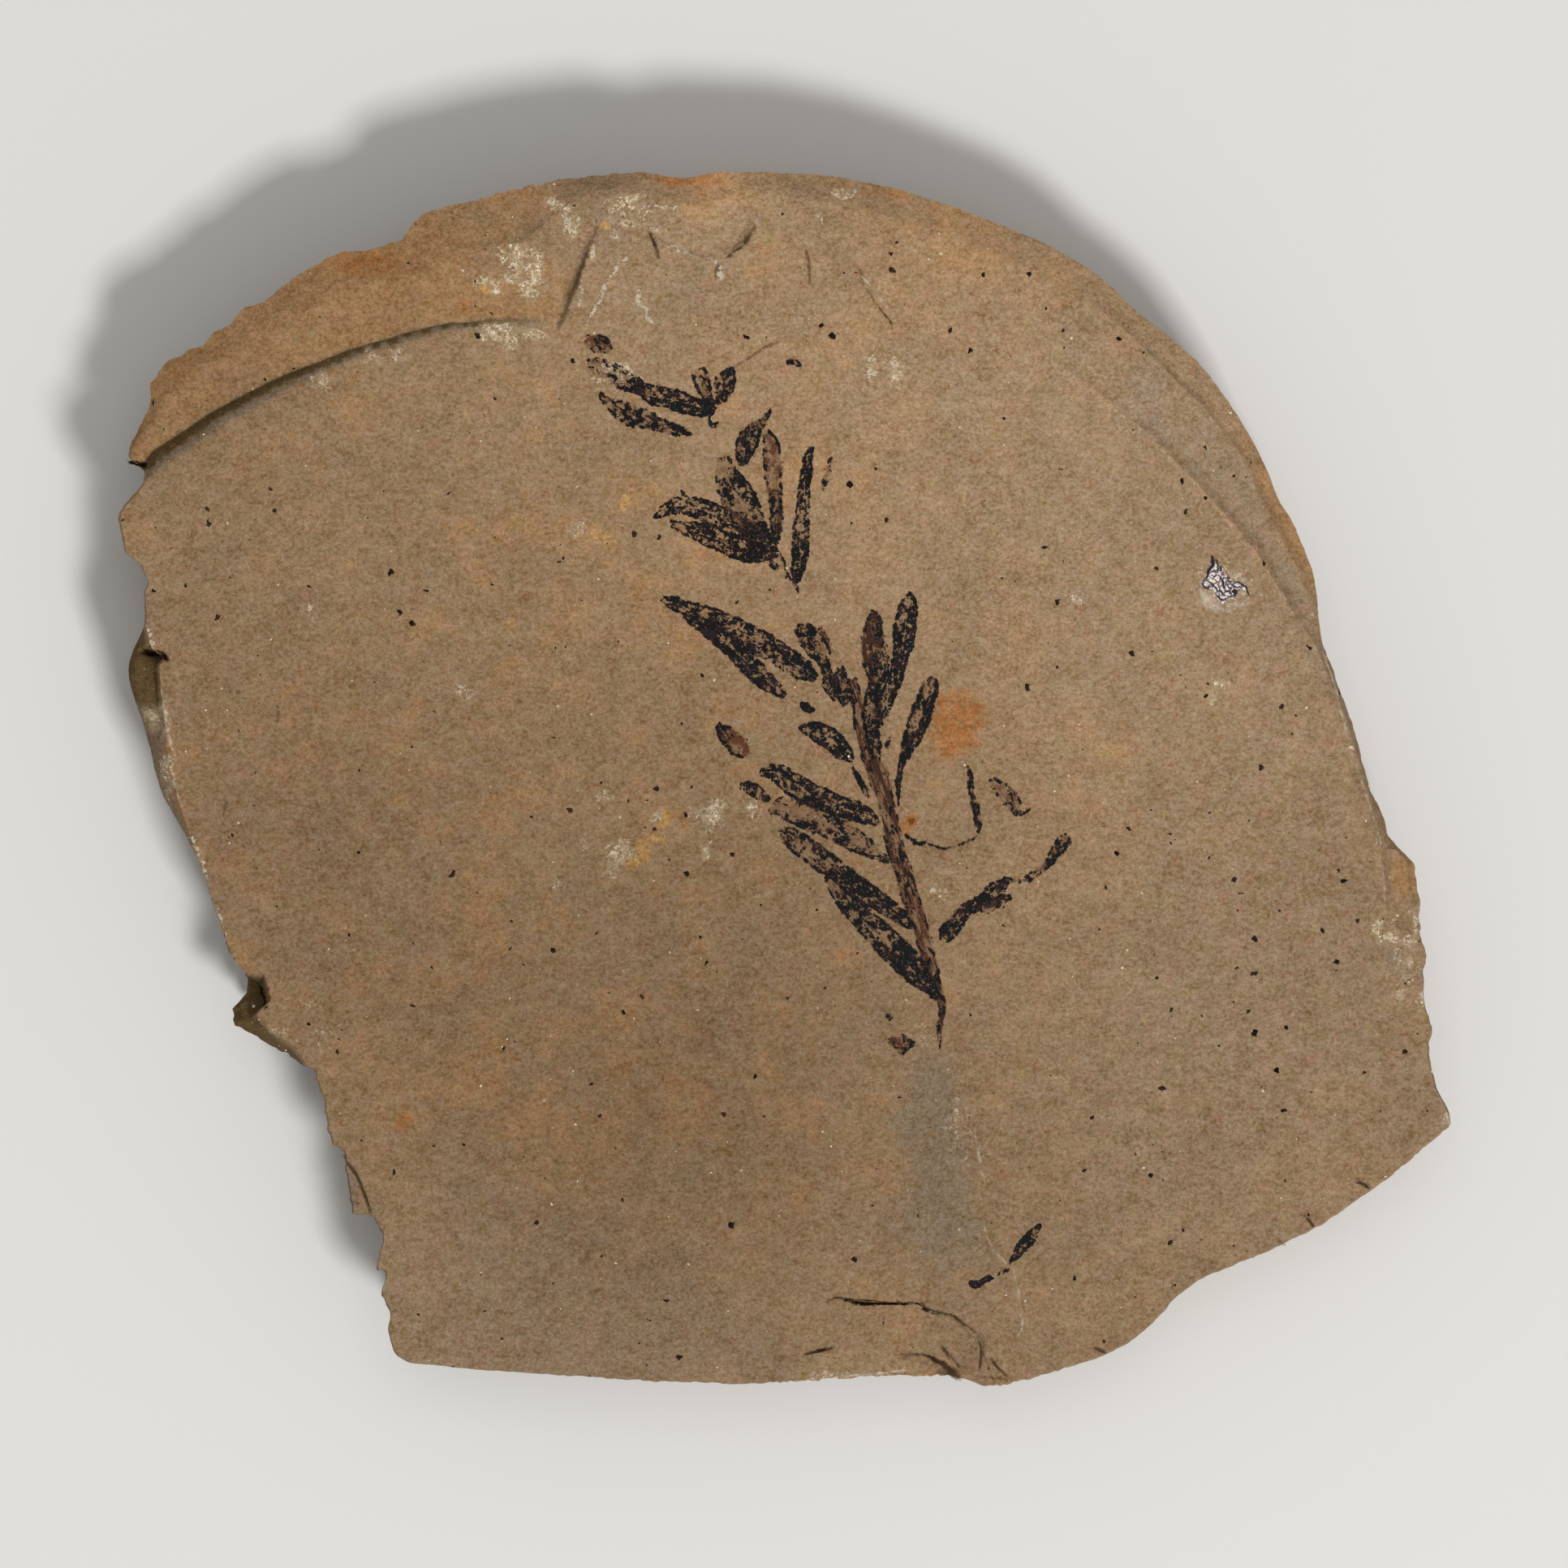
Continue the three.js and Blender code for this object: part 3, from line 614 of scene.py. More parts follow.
def upper_side():
    lines = [along_line(polar(ANGLES[run], table[run]), LINE_SPACING)
             for run in stretches((rim - crest) > WIDE_STEP) for table in step_lines]
    marks = [line for *_, line in scarps + cracks]
    lines += [along_line(line, MARK_SPACING) for line in marks]

    x, y = loose_points(FACE_SPACING, 11)
    inner = np.hypot(x, y) < look_up(crest, angle_of(x, y)) - 0.35 * FACE_SPACING
    u, v = loose_points(STEP_SPACING, 13)
    radius, angle = np.hypot(u, v), angle_of(u, v)
    outer = look_up(rim - crest, angle) > NARROW_STEP
    outer &= radius < look_up(rim, angle) - CLEAR_OF_RIM
    outer &= radius > look_up(crest, angle) + CLEAR_OF_RIM
    for table in step_lines:
        outer &= np.abs(radius - look_up(table, angle)) > CLEAR_OF_STEPS
    x, y = np.append(x[inner], u[outer]), np.append(y[inner], v[outer])

    rows = []
    for spread, group in [(s, scarps) for s in SCARP_SPREADS] + [(CRACK_SPREAD, cracks)]:
        for *_, line in group:
            points = along_line(line, MARK_SPACING)
            step = np.gradient(points, axis=0)
            step /= np.hypot(*step.T)[:, None]
            normal = np.stack([-step[:, 1], step[:, 0]], -1)
            rows += [points - normal * spread, points + normal * min(spread, SCARP_SPREADS[0])]
    rows = np.concatenate(rows)
    for line in marks:
        free = np.abs(beside(line, x, y)[0]) > CLEAR_OF_MARKS
        x, y = x[free], y[free]
    rows = rows[np.hypot(*rows.T) < look_up(rim, angle_of(*rows.T)) - 0.25]
    x, y = np.append(x, rows[:, 0]), np.append(y, rows[:, 1])
    loops = [ring_line(rim, EDGE_SPACING), ring_line(crest, EDGE_SPACING * 1.1)]
    return triangulate(loops, lines, x, y)


flat, border, top_faces = upper_side()
top_points = np.column_stack([flat, top_height(*flat.T)])
print("upper side:", len(top_points), "points,", len(top_faces), "triangles")

# %% [markdown]
# ## The layered side and the underside
# The side shows the beds edge on. A plain wall with a striped bump would look right only from
# one angle, so every bed is a real ledge: two rows of points, set in or out by its own random
# amount, at heights that stay nearly level round the whole stone, as bedding does. Where the
# upper beds are missing, their rows fold up into the rim.

# %% Beds
FIRST_BED = 13.9
LAST_BED = 1.5
LAST_BED_THICKNESS = 0.3
THIN_BED = 0.32
THICK_BED = 1.25
ROW_DROP = 0.008             # from one row to the next where their beds are missing


def bed_levels():
    """Heights of the bed tops, from the top down, thin beds and thick ones mixed."""
    levels, level = [], FIRST_BED
    while level > LAST_BED:
        levels.append(level)
        level -= mix(THIN_BED, THICK_BED, float(chance(len(levels) - 1, 90)) ** 1.6)
    return levels


def inset(angle, z, side_top, bed):
    """How far in the wall lies at one height."""
    level = np.clip(z / side_top, 0, 1)
    hollow = SIDE_HOLLOWS * (0.5 + 0.5 * ragged(angle, 11, 60))
    profile = np.interp(level, side_layers[::-1, 0], side_layers[::-1, 1])
    group = np.searchsorted([0.18, 0.42, 0.7], level)
    wander = sum(np.where(group == k, 0.5 + 0.5 * broken(angle, 23 - k), 0) for k in range(4))
    ledge = 0.30 * ragged(angle, 52, 200 + bed) + 0.26 * ragged(angle, 170, 300 + bed)
    ledge += 0.10 * ragged(angle, 620, 400 + bed)
    wall = profile + SIDE_ROUGHNESS * wander + hollow * np.sqrt(1 - level)
    return ease((side_top - z) / 0.9) * np.maximum(wall * 0.85 + ledge + 0.1, 0.05)


def side_rows(loop, beds):
    """Rings of points down the side, from just under the rim."""
    x, y, side_top = loop.T
    angle, radius = angle_of(x, y), np.hypot(x, y)
    dip = 1 + BED_DIP * ragged(angle, 9, 31)
    rows = []
    for bed, (high, low) in enumerate(zip(beds, beds[1:] + [LAST_BED - LAST_BED_THICKNESS])):
        for share, lean in ((0.10, 0.0), (0.90, 0.05)):
            z = np.minimum(mix(high, low, share) * dip, side_top - ROW_DROP * (len(rows) + 1))
            r = radius - inset(angle, z, side_top, bed) - lean * ease((side_top - z) / 0.9)
            rows.append(np.column_stack([polar(angle, r), z]))
    return rows


rows = side_rows(top_points[border], bed_levels())
print("beds:", len(bed_levels()), " rings down the side:", len(rows))

# %% The underside
LEDGE_RUN = 0.7              # over which the ledge rises from the flat that the plate rests on

wall_foot = np.hypot(rows[-1][:, 0], rows[-1][:, 1])
foot_angle = np.mod(angle_of(rows[-1][:, 0], rows[-1][:, 1]), 360)
order = np.argsort(foot_angle)
last_in, last_z = (np.interp(ANGLES, foot_angle[order], values[order], period=360)
                   for values in (wall_foot, rows[-1][:, 2]))
turn_under = np.minimum(rim - UNDERCUT - 0.4 * SIDE_ROUGHNESS * broken(ANGLES, 45),
                        last_in - 0.3)
rest_edge = rim - REST_INSET * (1 + 0.3 * ragged(ANGLES, 14, 40))
rest_edge = np.minimum(round_off(rest_edge, 20), turn_under - 1.2)
flat_tables = (turn_under, rest_edge + LEDGE_RUN, rest_edge)


def under_height(x, y):
    """The broken ledge round the flat, and the flat with its shallow flakes."""
    angle, radius = angle_of(x, y), np.hypot(x, y)
    stages = [(rest_edge, 0.0), (rest_edge + LEDGE_RUN, REST_LEDGE),
              (turn_under, 0.75 * REST_LEDGE), (last_in, last_z)]
    stages = [(look_up(at, angle), look_up(high * np.ones(TABLE_SIZE), angle))
              for at, high in stages]
    z = np.zeros(np.shape(x))
    for (near, low), (far, high) in zip(stages[:-1], stages[1:]):
        z += (high - low) * np.clip((radius - near) / np.maximum(far - near, 1e-4), 0, 1)
    flakes = np.maximum(swell(x, y, 17, 70) - 0.25, 0) * 0.5 + 0.05 * (1 + swell(x, y, 4, 71))
    rests = ease((swell(x, y, 13, 73) + 0.15) / 0.3)
    rough_ledge = 0.16 * swell(x, y, 2.4, 72)
    off = ease((radius - look_up(rest_edge, angle)) / 0.4)
    return np.maximum(z + mix(flakes * rests, rough_ledge, off), 0)


def under_side():
    loops = [rows[-1][:, :2]] + [ring_line(table, UNDER_LINE_SPACING) for table in flat_tables]
    x, y = loose_points(UNDER_SPACING, 15)
    radius, angle = np.hypot(x, y), angle_of(x, y)
    keep = radius < look_up(np.minimum(last_in, turn_under + 9), angle) - 0.6
    for table in flat_tables:
        keep &= np.abs(radius - look_up(table, angle)) > 0.4
    return triangulate(loops, [], x[keep], y[keep])


under_flat, under_border, under_faces = under_side()
under_points = np.column_stack([under_flat, under_height(*under_flat.T)])
under_points[under_border] = rows[-1]
print("underside:", len(under_points), "points,", len(under_faces), "triangles")

# %% One slab
BOX_MARGIN = 0.002           # millimetres that every point stays inside the solid's box
SHARP_EDGE = 38              # degrees


def in_metres(name, points, faces):
    """A mesh from points in millimetres, kept just inside the solid's box."""
    low = np.array(cad_low) / MM + BOX_MARGIN
    high = np.array(cad_high) / MM - BOX_MARGIN
    mesh = bpy.data.meshes.new(name)
    mesh.from_pydata((np.clip(points, low, high) * MM).tolist(), [], faces)
    mesh.update()
    return mesh


def join_slab():
    """The upper side, the rings down the side and the underside as one mesh. It is closed but
    for a sliver at each place where a crack crosses the rim, counted below as open edges."""
    ring = len(border)
    points = np.vstack([top_points, *rows, under_points])
    here = np.array(border)
    faces = top_faces.tolist()
    for k in range(len(rows)):
        below = len(top_points) + k * ring + np.arange(ring)
        band = np.stack([here, below, np.roll(below, -1), np.roll(here, -1)], -1)
        faces += band.tolist()
        here = below
    place = len(top_points) + ring * len(rows) + np.arange(len(under_points))
    place[under_border] = here
    faces += place[under_faces[:, ::-1]].tolist()
    used = np.unique(np.concatenate([np.ravel(f) for f in faces]))
    renumber = np.zeros(len(points), int)
    renumber[used] = np.arange(len(used))
    return points[used], [renumber[f].tolist() for f in faces]


slab_points, slab_faces = join_slab()
slab_mesh = in_metres("slab_stone", slab_points, slab_faces)
slab_mesh.shade_smooth()
slab_mesh.set_sharp_from_angle(angle=np.radians(SHARP_EDGE))
slab = new_object("slab_stone", slab_mesh)
faces_at_edge = np.bincount([loop.edge_index for loop in slab_mesh.loops])
print("slab:", len(slab_points), "points,", sum(len(f) - 2 for f in slab_faces), "triangles,",
      "open edges:", int((faces_at_edge != 2).sum()))

# %% [markdown]
# ## Where the stone is stained, and where shade is painted
# Iron has rusted out of tiny pyrite grains, so the tan stone carries orange spots. Clay has
# crushed white along the fresh breaks, and the old breaks are dark olive with dirt. Shade is
# painted in the cracks, under the small scarps, in a few hollows and on some steps, with a
# painted highlight on the right crest. These marks have places of their own, so they can't
# come from noise alone. Each kind is a short list of soft spots, kept on the mesh as one
# number for every point, and the finish later breaks up the spots with noise.

# %% Spots of rust: x, y, half width and half height in millimetres, and strength
spots = {}
spots["rust"] = [
    (15.2, 5, 2.2, 2.9, 1), (16.9, 5.6, 1.8, 1.3, .9), (14.9, 2.3, 1.2, .9, .9),
    (16.7, 3.5, 1.1, .8, .8), (-8.7, 53.9, 3.3, .8, .75), (9.2, 52.8, 2.8, .7, .6),
    (-37.6, 46.5, 4.4, 1.6, .7), (-12.5, -6.6, .3, .4, .7), (-12.9, -9.8, .4, .8, .5),
    (-22.7, 47.6, .6, .25, .6), (-43.1, 2.6, 2, 1.9, .4), (-35.4, -1.5, 1.7, 1.2, .45),
    (-23.8, 15.3, 1.9, 1.9, .35), (-20.1, 8.7, 1.9, 1.5, .35), (-34.2, -30.7, .8, .6, 1.1),
    (-34, -31, 1.8, 1.4, .3), (6.1, -16.4, 2.5, 1.9, .4), (-1.9, -8.4, 2.2, 1.8, .35),
    (-7.6, 17.6, .9, .6, .5), (-28.9, 42.4, 1, .7, .6), (10.6, -4.4, 1, .7, .8),
    (11.6, -3.8, .45, .32, 2.6), (-6.6, 20.3, 2.9, .7, .4), (9.8, -1.8, .9, 2.2, .35),
    (-2.5, 27, .7, 1.7, .5), (-2.8, 45.8, 1, .9, .5), (6.1, 10.6, 1.2, 1.2, .35),
    (20, -8.4, 1.3, .4, .35), (15, -20, 1, 1.3, .35), (55.4, -9.2, 1, 3.4, .3),
    (-54.7, 36.8, 2.2, 1.6, .45), (-50.3, 40.7, 2, 1, .45), (-26.7, 43.7, .6, .4, .5),
    (-28.6, 42.4, .8, .5, .6), (-39, -27, 3, 3, .3), (-8, -22, 4, 3, .25), (28, -8, 4, 3, .25),
    (-46, 8, 3, 2, .3),
]
spots["gold"] = [
    (-12.5, -6.3, .5, 1, 1.4), (-13.5, -7.6, .7, .6, 1.3), (-11.2, -5.5, 1, .35, .8),
    (-10.6, -3.2, .35, .9, 1.4), (-12.9, -5.7, 1.8, 1.6, .25), (-18.5, -4.1, .6, .6, .5),
    (-15.8, -11.9, .5, .4, .5), (8.5, 43.5, 2.2, 2, .35), (-14.4, 24.9, .4, .55, 1.6),
    (-16.1, 21.9, 2.2, 1.3, .45), (-24.5, 13.8, .7, 1.6, .45), (1.7, 39, 3.6, .9, .4),
    (32.7, -21.7, .6, .6, .6), (27.2, -12.4, 1.2, 1, .3), (-16.1, 49.7, .5, .5, 1),
    (-17.2, 47.4, .3, 1.2, .9), (-26.7, 44.1, .7, .6, 1.1), (15.6, 40.8, 2.9, 1.5, .2),
    (-20.2, 51.5, .8, .7, .6), (-36, 6, 3, 3, .3), (-19, -18, 4, 3, .25), (4, 30, 3, 4, .25),
    (21, 24, 5, 4, .2), (-40, 20, 4, 3, .2),
]
print("rust spots:", len(spots["rust"]), " gold spots:", len(spots["gold"]))

# %% Crushed clay: white where it is thick, a few flakes where it is thin
spots["chalk"] = [
    (-23.9, 46.6, .8, 1.6, .85), (-22.4, 45.6, .7, 1.8, .85), (-22.9, 43.9, .9, .7, 1),
    (-24.8, 44.9, 1, .5, .7), (-26.9, 44.6, .9, .6, .7), (-25.9, 43.9, .5, .4, .9),
    (-25.3, 47.2, .25, .9, .7), (-25.9, 48.2, .3, .25, .7), (-25.8, 40.3, 1.5, .6, 1.4),
    (-24.6, 39.6, .6, .9, 1.2), (-22.7, 39.9, 1, .5, 1), (-21, 51.9, .5, .45, 1),
    (-20, 51.3, .9, .4, 1), (-19.2, 49.7, .55, .9, .9), (-13.9, 52, 1.4, .4, .85),
    (-14.3, 50, .7, .3, .8), (-14.2, 51, 2.6, 1.5, .35), (-15.5, 49, .5, .6, .7),
    (5.2, 52.6, 1.2, .5, .6), (9.2, 37, 1.6, 1.1, .2), (7.9, 37, .35, 1.1, 1.3),
    (10.1, 36.8, .4, 1, 1.2), (39.2, 8.6, .6, .3, 1.2), (38.4, 7.4, .3, .5, 1),
    (26.2, 15.8, .9, .3, .8), (39.5, 17.2, 2.5, 2, .45), (55.4, -16.8, 1.6, 3.5, .2),
    (56.5, -10, .2, .2, 1), (56, -11, .12, .45, .9), (56.8, -12.6, .35, 1.1, 1.1),
    (53.6, -12.6, .3, .3, .8), (53.4, -13.6, .35, .45, 1.5), (54.6, -14.1, .5, .3, 1.2),
    (54.8, -13, .25, .2, .8), (56.2, -14.4, .6, .2, 1), (55.1, -14.9, .3, .2, .9),
    (56, -14.9, .3, .2, .8), (55.9, -16.6, .7, .4, .9), (57.1, -16.8, .2, .6, 1.2),
    (55.1, -17, .3, .25, .8), (55.5, -19.4, .4, .7, .9), (55.7, -18, .25, .25, .8),
    (57.4, -19.6, .2, .6, 1), (56.8, -20.4, .3, .2, .7), (59.5, -30.6, .4, .45, 1),
    (50.9, 3.2, .15, .5, 1.4), (53.1, -5.5, .2, .4, 1.2), (-56.6, 5.7, .9, .4, 1),
    (-55.9, 6.2, .35, .7, 1), (-55.8, 4, .35, .6, 1), (-55.5, 1.2, .5, .9, .9),
    (-55.1, -.8, .4, .9, .8), (-41.7, 35.8, .9, .7, .6), (-36.1, 37.9, 2.2, .8, .45),
    (-28.9, 8, 1, .9, .4), (-3, -2.6, .9, .6, .6), (-16, -1.5, .75, .5, .6),
    (-16.3, -1.5, .2, .15, 1.5), (-11.3, -3.2, .3, .6, 1.4), (-6.6, -3.5, .9, 1.1, .9),
    (-6, -2.3, .4, .5, .9), (-8.3, -2.8, .4, .3, .8), (-7, -6.4, .25, .55, 1.1),
    (-14.7, -6.6, 1.2, 1, 1.1), (-15.9, -8.3, .75, .35, .7), (-18, -5.7, .6, .9, .35),
    (12.4, -23, 1.2, 1.2, .3), (-20.3, -9.5, .7, .7, .35), (-15.2, 36.5, 1.6, .7, 1.4),
    (6.1, -53.7, 3.6, .4, .6), (-18.5, 22.6, 1, .8, .5), (-41.3, -23.4, 1.6, 1.2, .22),
    (14.2, -9.9, .6, .14, 1.4), (14.2, -10.4, .35, .12, 1.2), (13.9, -9.3, .35, .12, 1.2),
    (15.8, -31, 1.4, 4, .25), (-42, -20.3, 1.4, .5, .3), (-45.8, -22.8, 1.6, .4, .45),
    (14, -9.7, 1, .6, .3),
]
print("chalk spots:", len(spots["chalk"]))

# %% Grey patches, and painted shade in small hollows
spots["slate"] = [
    (13.2, -29, 2.2, 4.6, .8), (12.2, -31.5, 3, 3.5, .6), (13.8, -35.5, 2.8, 4.4, .9),
    (15, -41, 3.2, 4, .7), (12, -39, 3.4, 4, .45), (15, -47, 2.6, 2.6, .4),
    (17.8, -43.7, 2.2, 4.4, .4), (32.8, 33.6, 3.2, 3, .5), (-12.1, 43.7, 7.3, 2.9, .3),
    (54.6, -15.9, .8, .8, .6), (-17.3, 50.8, 1.6, 1, .5), (-39, -37.4, .9, 2.4, .9),
    (-4.8, 50.3, 11.7, 1.6, .3), (-22, 48.5, 5, 3, .3), (-18.5, 51.3, 2, 1, .4),
]
# Painted shade: soft dark spots in small hollows and chips, where shade falls.
spots["hollow"] = [
    (14.7, -53.3, 1.2, .5, .5), (13.2, -52.4, 1.2, .35, .4), (11, -52.1, 1.2, .25, .3),
    (-56.2, 9, .5, 1.6, .22), (-56.5, 4, .7, .8, .33), (-57.2, 3.4, .3, 1.4, .3),
    (-39.6, -36.6, .5, 2.6, .16), (14, -47.6, 2, .3, .16),
]


def spotted(kind, x, y):
    """The strongest of the spots at each point, each with a flat middle and soft corners."""
    strengths = [strength * np.exp(-0.8 * (np.abs((x - at_x) / half_x) ** 3
                                           + np.abs((y - at_y) / half_y) ** 3))
                 for at_x, at_y, half_x, half_y, strength in spots[kind]]
    return np.maximum.reduce(strengths)


print("slate spots:", len(spots["slate"]), " hollows:", len(spots["hollow"]))

# %% Broad zones: x, y and radius in millimetres, and change
# Zones that are lighter or darker than the middle.
# The small strong zone at (-4, 54.8) is painted light: it lifts the top rim, which slopes away from the
# key.
zones = [
    (5, 38, 26, .27), (34, 8, 24, .2), (-12, -28, 26, -.24), (-45, -5, 18, -.14), (-32, -46, 14, .04),
    (40, -26, 14, .05), (17, 49.5, 8, .08), (26, 38, 10, .05), (-8.5, 52, 7, .08), (20, 32, 12, .06),
    (44, 27, 5, .03), (-39.2, -37.4, 2.2, -.1), (-56, 4.6, 1, .25), (-55.3, .2, 1, .25),
    (18, 46, 14, .03), (-20, -42, 13, -.04), (-33, 27, 14, .04), (-33, 44, 7, .03), (-4, 54.8, 4, .4),
    (-50, 36, 8, -.05), (-17, 43, 6, .1), (36, 32, 5, .1), (50, 4, 4, .03), (33, 24, 14, .02),
    (34, 35.5, 3.5, .06), (-11, 51, 5, .05),
]
# Zones that are rustier or, below 0, greyer.
tints = [
    (-39, 44, 6, .4), (-24, 46, 6, -.35), (-8.5, 54.5, 6, .3), (17, 49.5, 9, .3), (-50, 36, 8, .05),
    (38, -27, 20, -.45), (45, -12, 14, -.3), (56.8, -9, 2.4, 1), (46, 22, 5, .3), (-30, -28, 14, .2),
    (-12, 46, 9, -.3), (-12, -51, 14, -.5), (-31, -49, 12, -.4), (21, 31, 15, -.3), (33, 22, 14, -.3),
    (-6, -34, 12, .3), (44, 10, 12, -.25), (-20, 5, 20, .1),
]


def clouded(clouds, x, y):
    return sum(change * np.exp(-((x - at_x) ** 2 + (y - at_y) ** 2) / radius ** 2)
               for at_x, at_y, radius, change in clouds)


print("zones:", len(zones), " tints:", len(tints))

# %% The breaks that have a look of their own
# Directions from and to, in degrees from +X, and over how many degrees the look fades.
SPANS = {
    "rusty strip": (112, 158), "outer right": (-8, 62), "brown rim": (10, 36),
    "outer left": (122, 152), "crushed crest": (-6, 9), "dusty crest": (14, 48),
    "grey break": (173.3, 193, 2), "bench": (12, 50), "bent step": SAGGING,
    "right side": (-12, 56), "wide break": (-6, 1), "narrow break": (-5, 12, 2),
    "steep facet": (-14, -2), "upper brown": (160, 173.3, 2), "lower brown": (196, 214),
    "soiled side": (110, 250, 20),
}
COLOURED_STEP = 1.5          # from crest to rim: colour starts there, and is full at twice that


def break_colours(angle, radius, on_top):
    """What the steps and the side add to each kind of stain, with painted highlight and shade along the
    steps.
    """
    share = {name: between(angle, *span) for name, span in SPANS.items()}
    past_crest, past_foot, past_shelf, past_rim = (
        radius - look_up(table, angle) for table in (crest, foot, shelf_top, rim))
    step = ease((look_up(rim - crest, angle) - COLOURED_STEP) / COLOURED_STEP)
    outer_right = share["outer right"] * ease(past_shelf / 0.5) * step
    outer_left = share["outer left"] * ease((past_rim + 2.5) / 1.5)
    brown_rim = outer_right * share["brown rim"]
    right_side = share["right side"] * step

    beyond = ease((past_crest - 0.1) / 0.5)
    brown_break = np.maximum(share["upper brown"], share["lower brown"]) * beyond
    bench = share["bench"] * step * ease(past_crest / 0.3) * ease((0.3 - past_shelf) / 0.6)
    bent = share["bent step"] * step * ease((0.15 - past_foot) / 0.3)
    fold = np.clip(past_crest / np.maximum(past_crest - past_foot, 0.1), -1, 1)
    # The bent step's face is grey with painted shade on it; its foot is dark olive dirt deepened with
    # painted shade.
    bent_face_shade_and_grey = bent * ease((fold + 0.04) / 0.1)
    groove_shade_and_dirt = bent * ease((fold - 0.42) / 0.15)
    narrow = ease((past_rim + 1.1 + 0.3 * share["wide break"]) / 0.15)

    # In the tone, a painted highlight lightens the crest on the right, and painted shadow darkens the
    # narrow right break next to the rim.
    tone = (0.07 * outer_right - 0.10 * brown_rim - 0.06 * bent_face_shade_and_grey - 0.08 * groove_shade_and_dirt
            + 0.12 * right_side * np.exp(-(past_crest / 0.2) ** 2)
            - 0.19 * share["narrow break"] * narrow - 0.19 * brown_break)
    # Painted shade on the right slopes just below the crest and below the shelf, stronger from -14 to -2
    # degrees.
    slope_shade = (0.15 + 0.15 * share["steep facet"]) * right_side
    for past, width in ((past_crest, 1.1), (past_shelf, 0.9)):
        tone -= slope_shade * ease(past / 0.12) * ease((width - past) / 0.7)
    clay = 0.7 * share["crushed crest"] + 0.15 * share["dusty crest"]
    return {
        "tone": tone,
        "tint": (0.5 * share["rusty strip"] * step * ease(past_foot / 0.5)
                 + 0.35 * brown_rim),
        "rust": 0.10 * outer_right + 0.2 * outer_left,
        "gold": 0.25 * outer_right + 0.3 * outer_left,
        "chalk": clay * step * np.exp(-(past_crest / 0.35) ** 2),
        "slate": np.maximum.reduce([bent_face_shade_and_grey, 0.85 * share["grey break"] * beyond,
                                    0.45 * bench]),
        "olive": np.maximum.reduce([0.9 * groove_shade_and_dirt, brown_break, (1 - on_top)
                                    * (0.35 + 0.35 * share["soiled side"])]),
    }


print("breaks:", len(SPANS))

# %% Stains and painted shade as numbers on the mesh
def darkened(x, y):
    """Painted shade in the cracks, at the foot of the scarps and in the hollows."""
    painted_shade = spotted("hollow", x, y)
    for _, width, line in cracks:
        side, along = beside(line, x, y)
        painted_shade = np.maximum(painted_shade, 0.5 * end_fade(along) * np.exp(-(side / (0.5 * width)) ** 2))
    for depth, width, _, line in scarps:
        side, along = beside(line, x, y)
        face = ease((side + width) / 0.2) * ease((0.1 - side) / 0.2)
        painted_shade = np.maximum(painted_shade, 0.4 * depth * end_fade(along) * face)
    return painted_shade


def stains(points):
    """One number for each point of the slab, for every kind of stain, and for painted shade and
    highlight.
    """
    x, y, z = points.T
    angle, radius = angle_of(x, y), np.hypot(x, y)
    on_top = ease((z - (face_height(x, y) - drop_at(angle, radius)) + 0.7) / 0.5)
    found = break_colours(angle, radius, on_top)
    found["tone"] = found["tone"] + clouded(zones, x, y)
    found["tint"] = found["tint"] + clouded(tints, x, y)
    for kind in ("rust", "gold", "chalk", "slate"):
        found[kind] = np.maximum(found[kind], spotted(kind, x, y))
    return {**found, "painted_shade": darkened(x, y) * on_top, "bedding": 1 - on_top}


def keep_on(mesh, numbers):
    for name, values in numbers.items():
        kept = mesh.attributes.new(name, "FLOAT", "POINT")
        kept.data.foreach_set("value", np.asarray(values, np.float32))


slab_stains = stains(slab_points)
keep_on(slab_mesh, slab_stains)
print("stains:", {name: round(float(values.mean()), 3) for name, values in slab_stains.items()})

# %% [markdown]
# ## Writing a finish as expressions
# A finish is a tree of nodes. Built one node at a time it is long, and hard to read. Here a
# small class wraps a socket: sums and products of wrapped sockets add the Math nodes, and one
# method adds any other node.

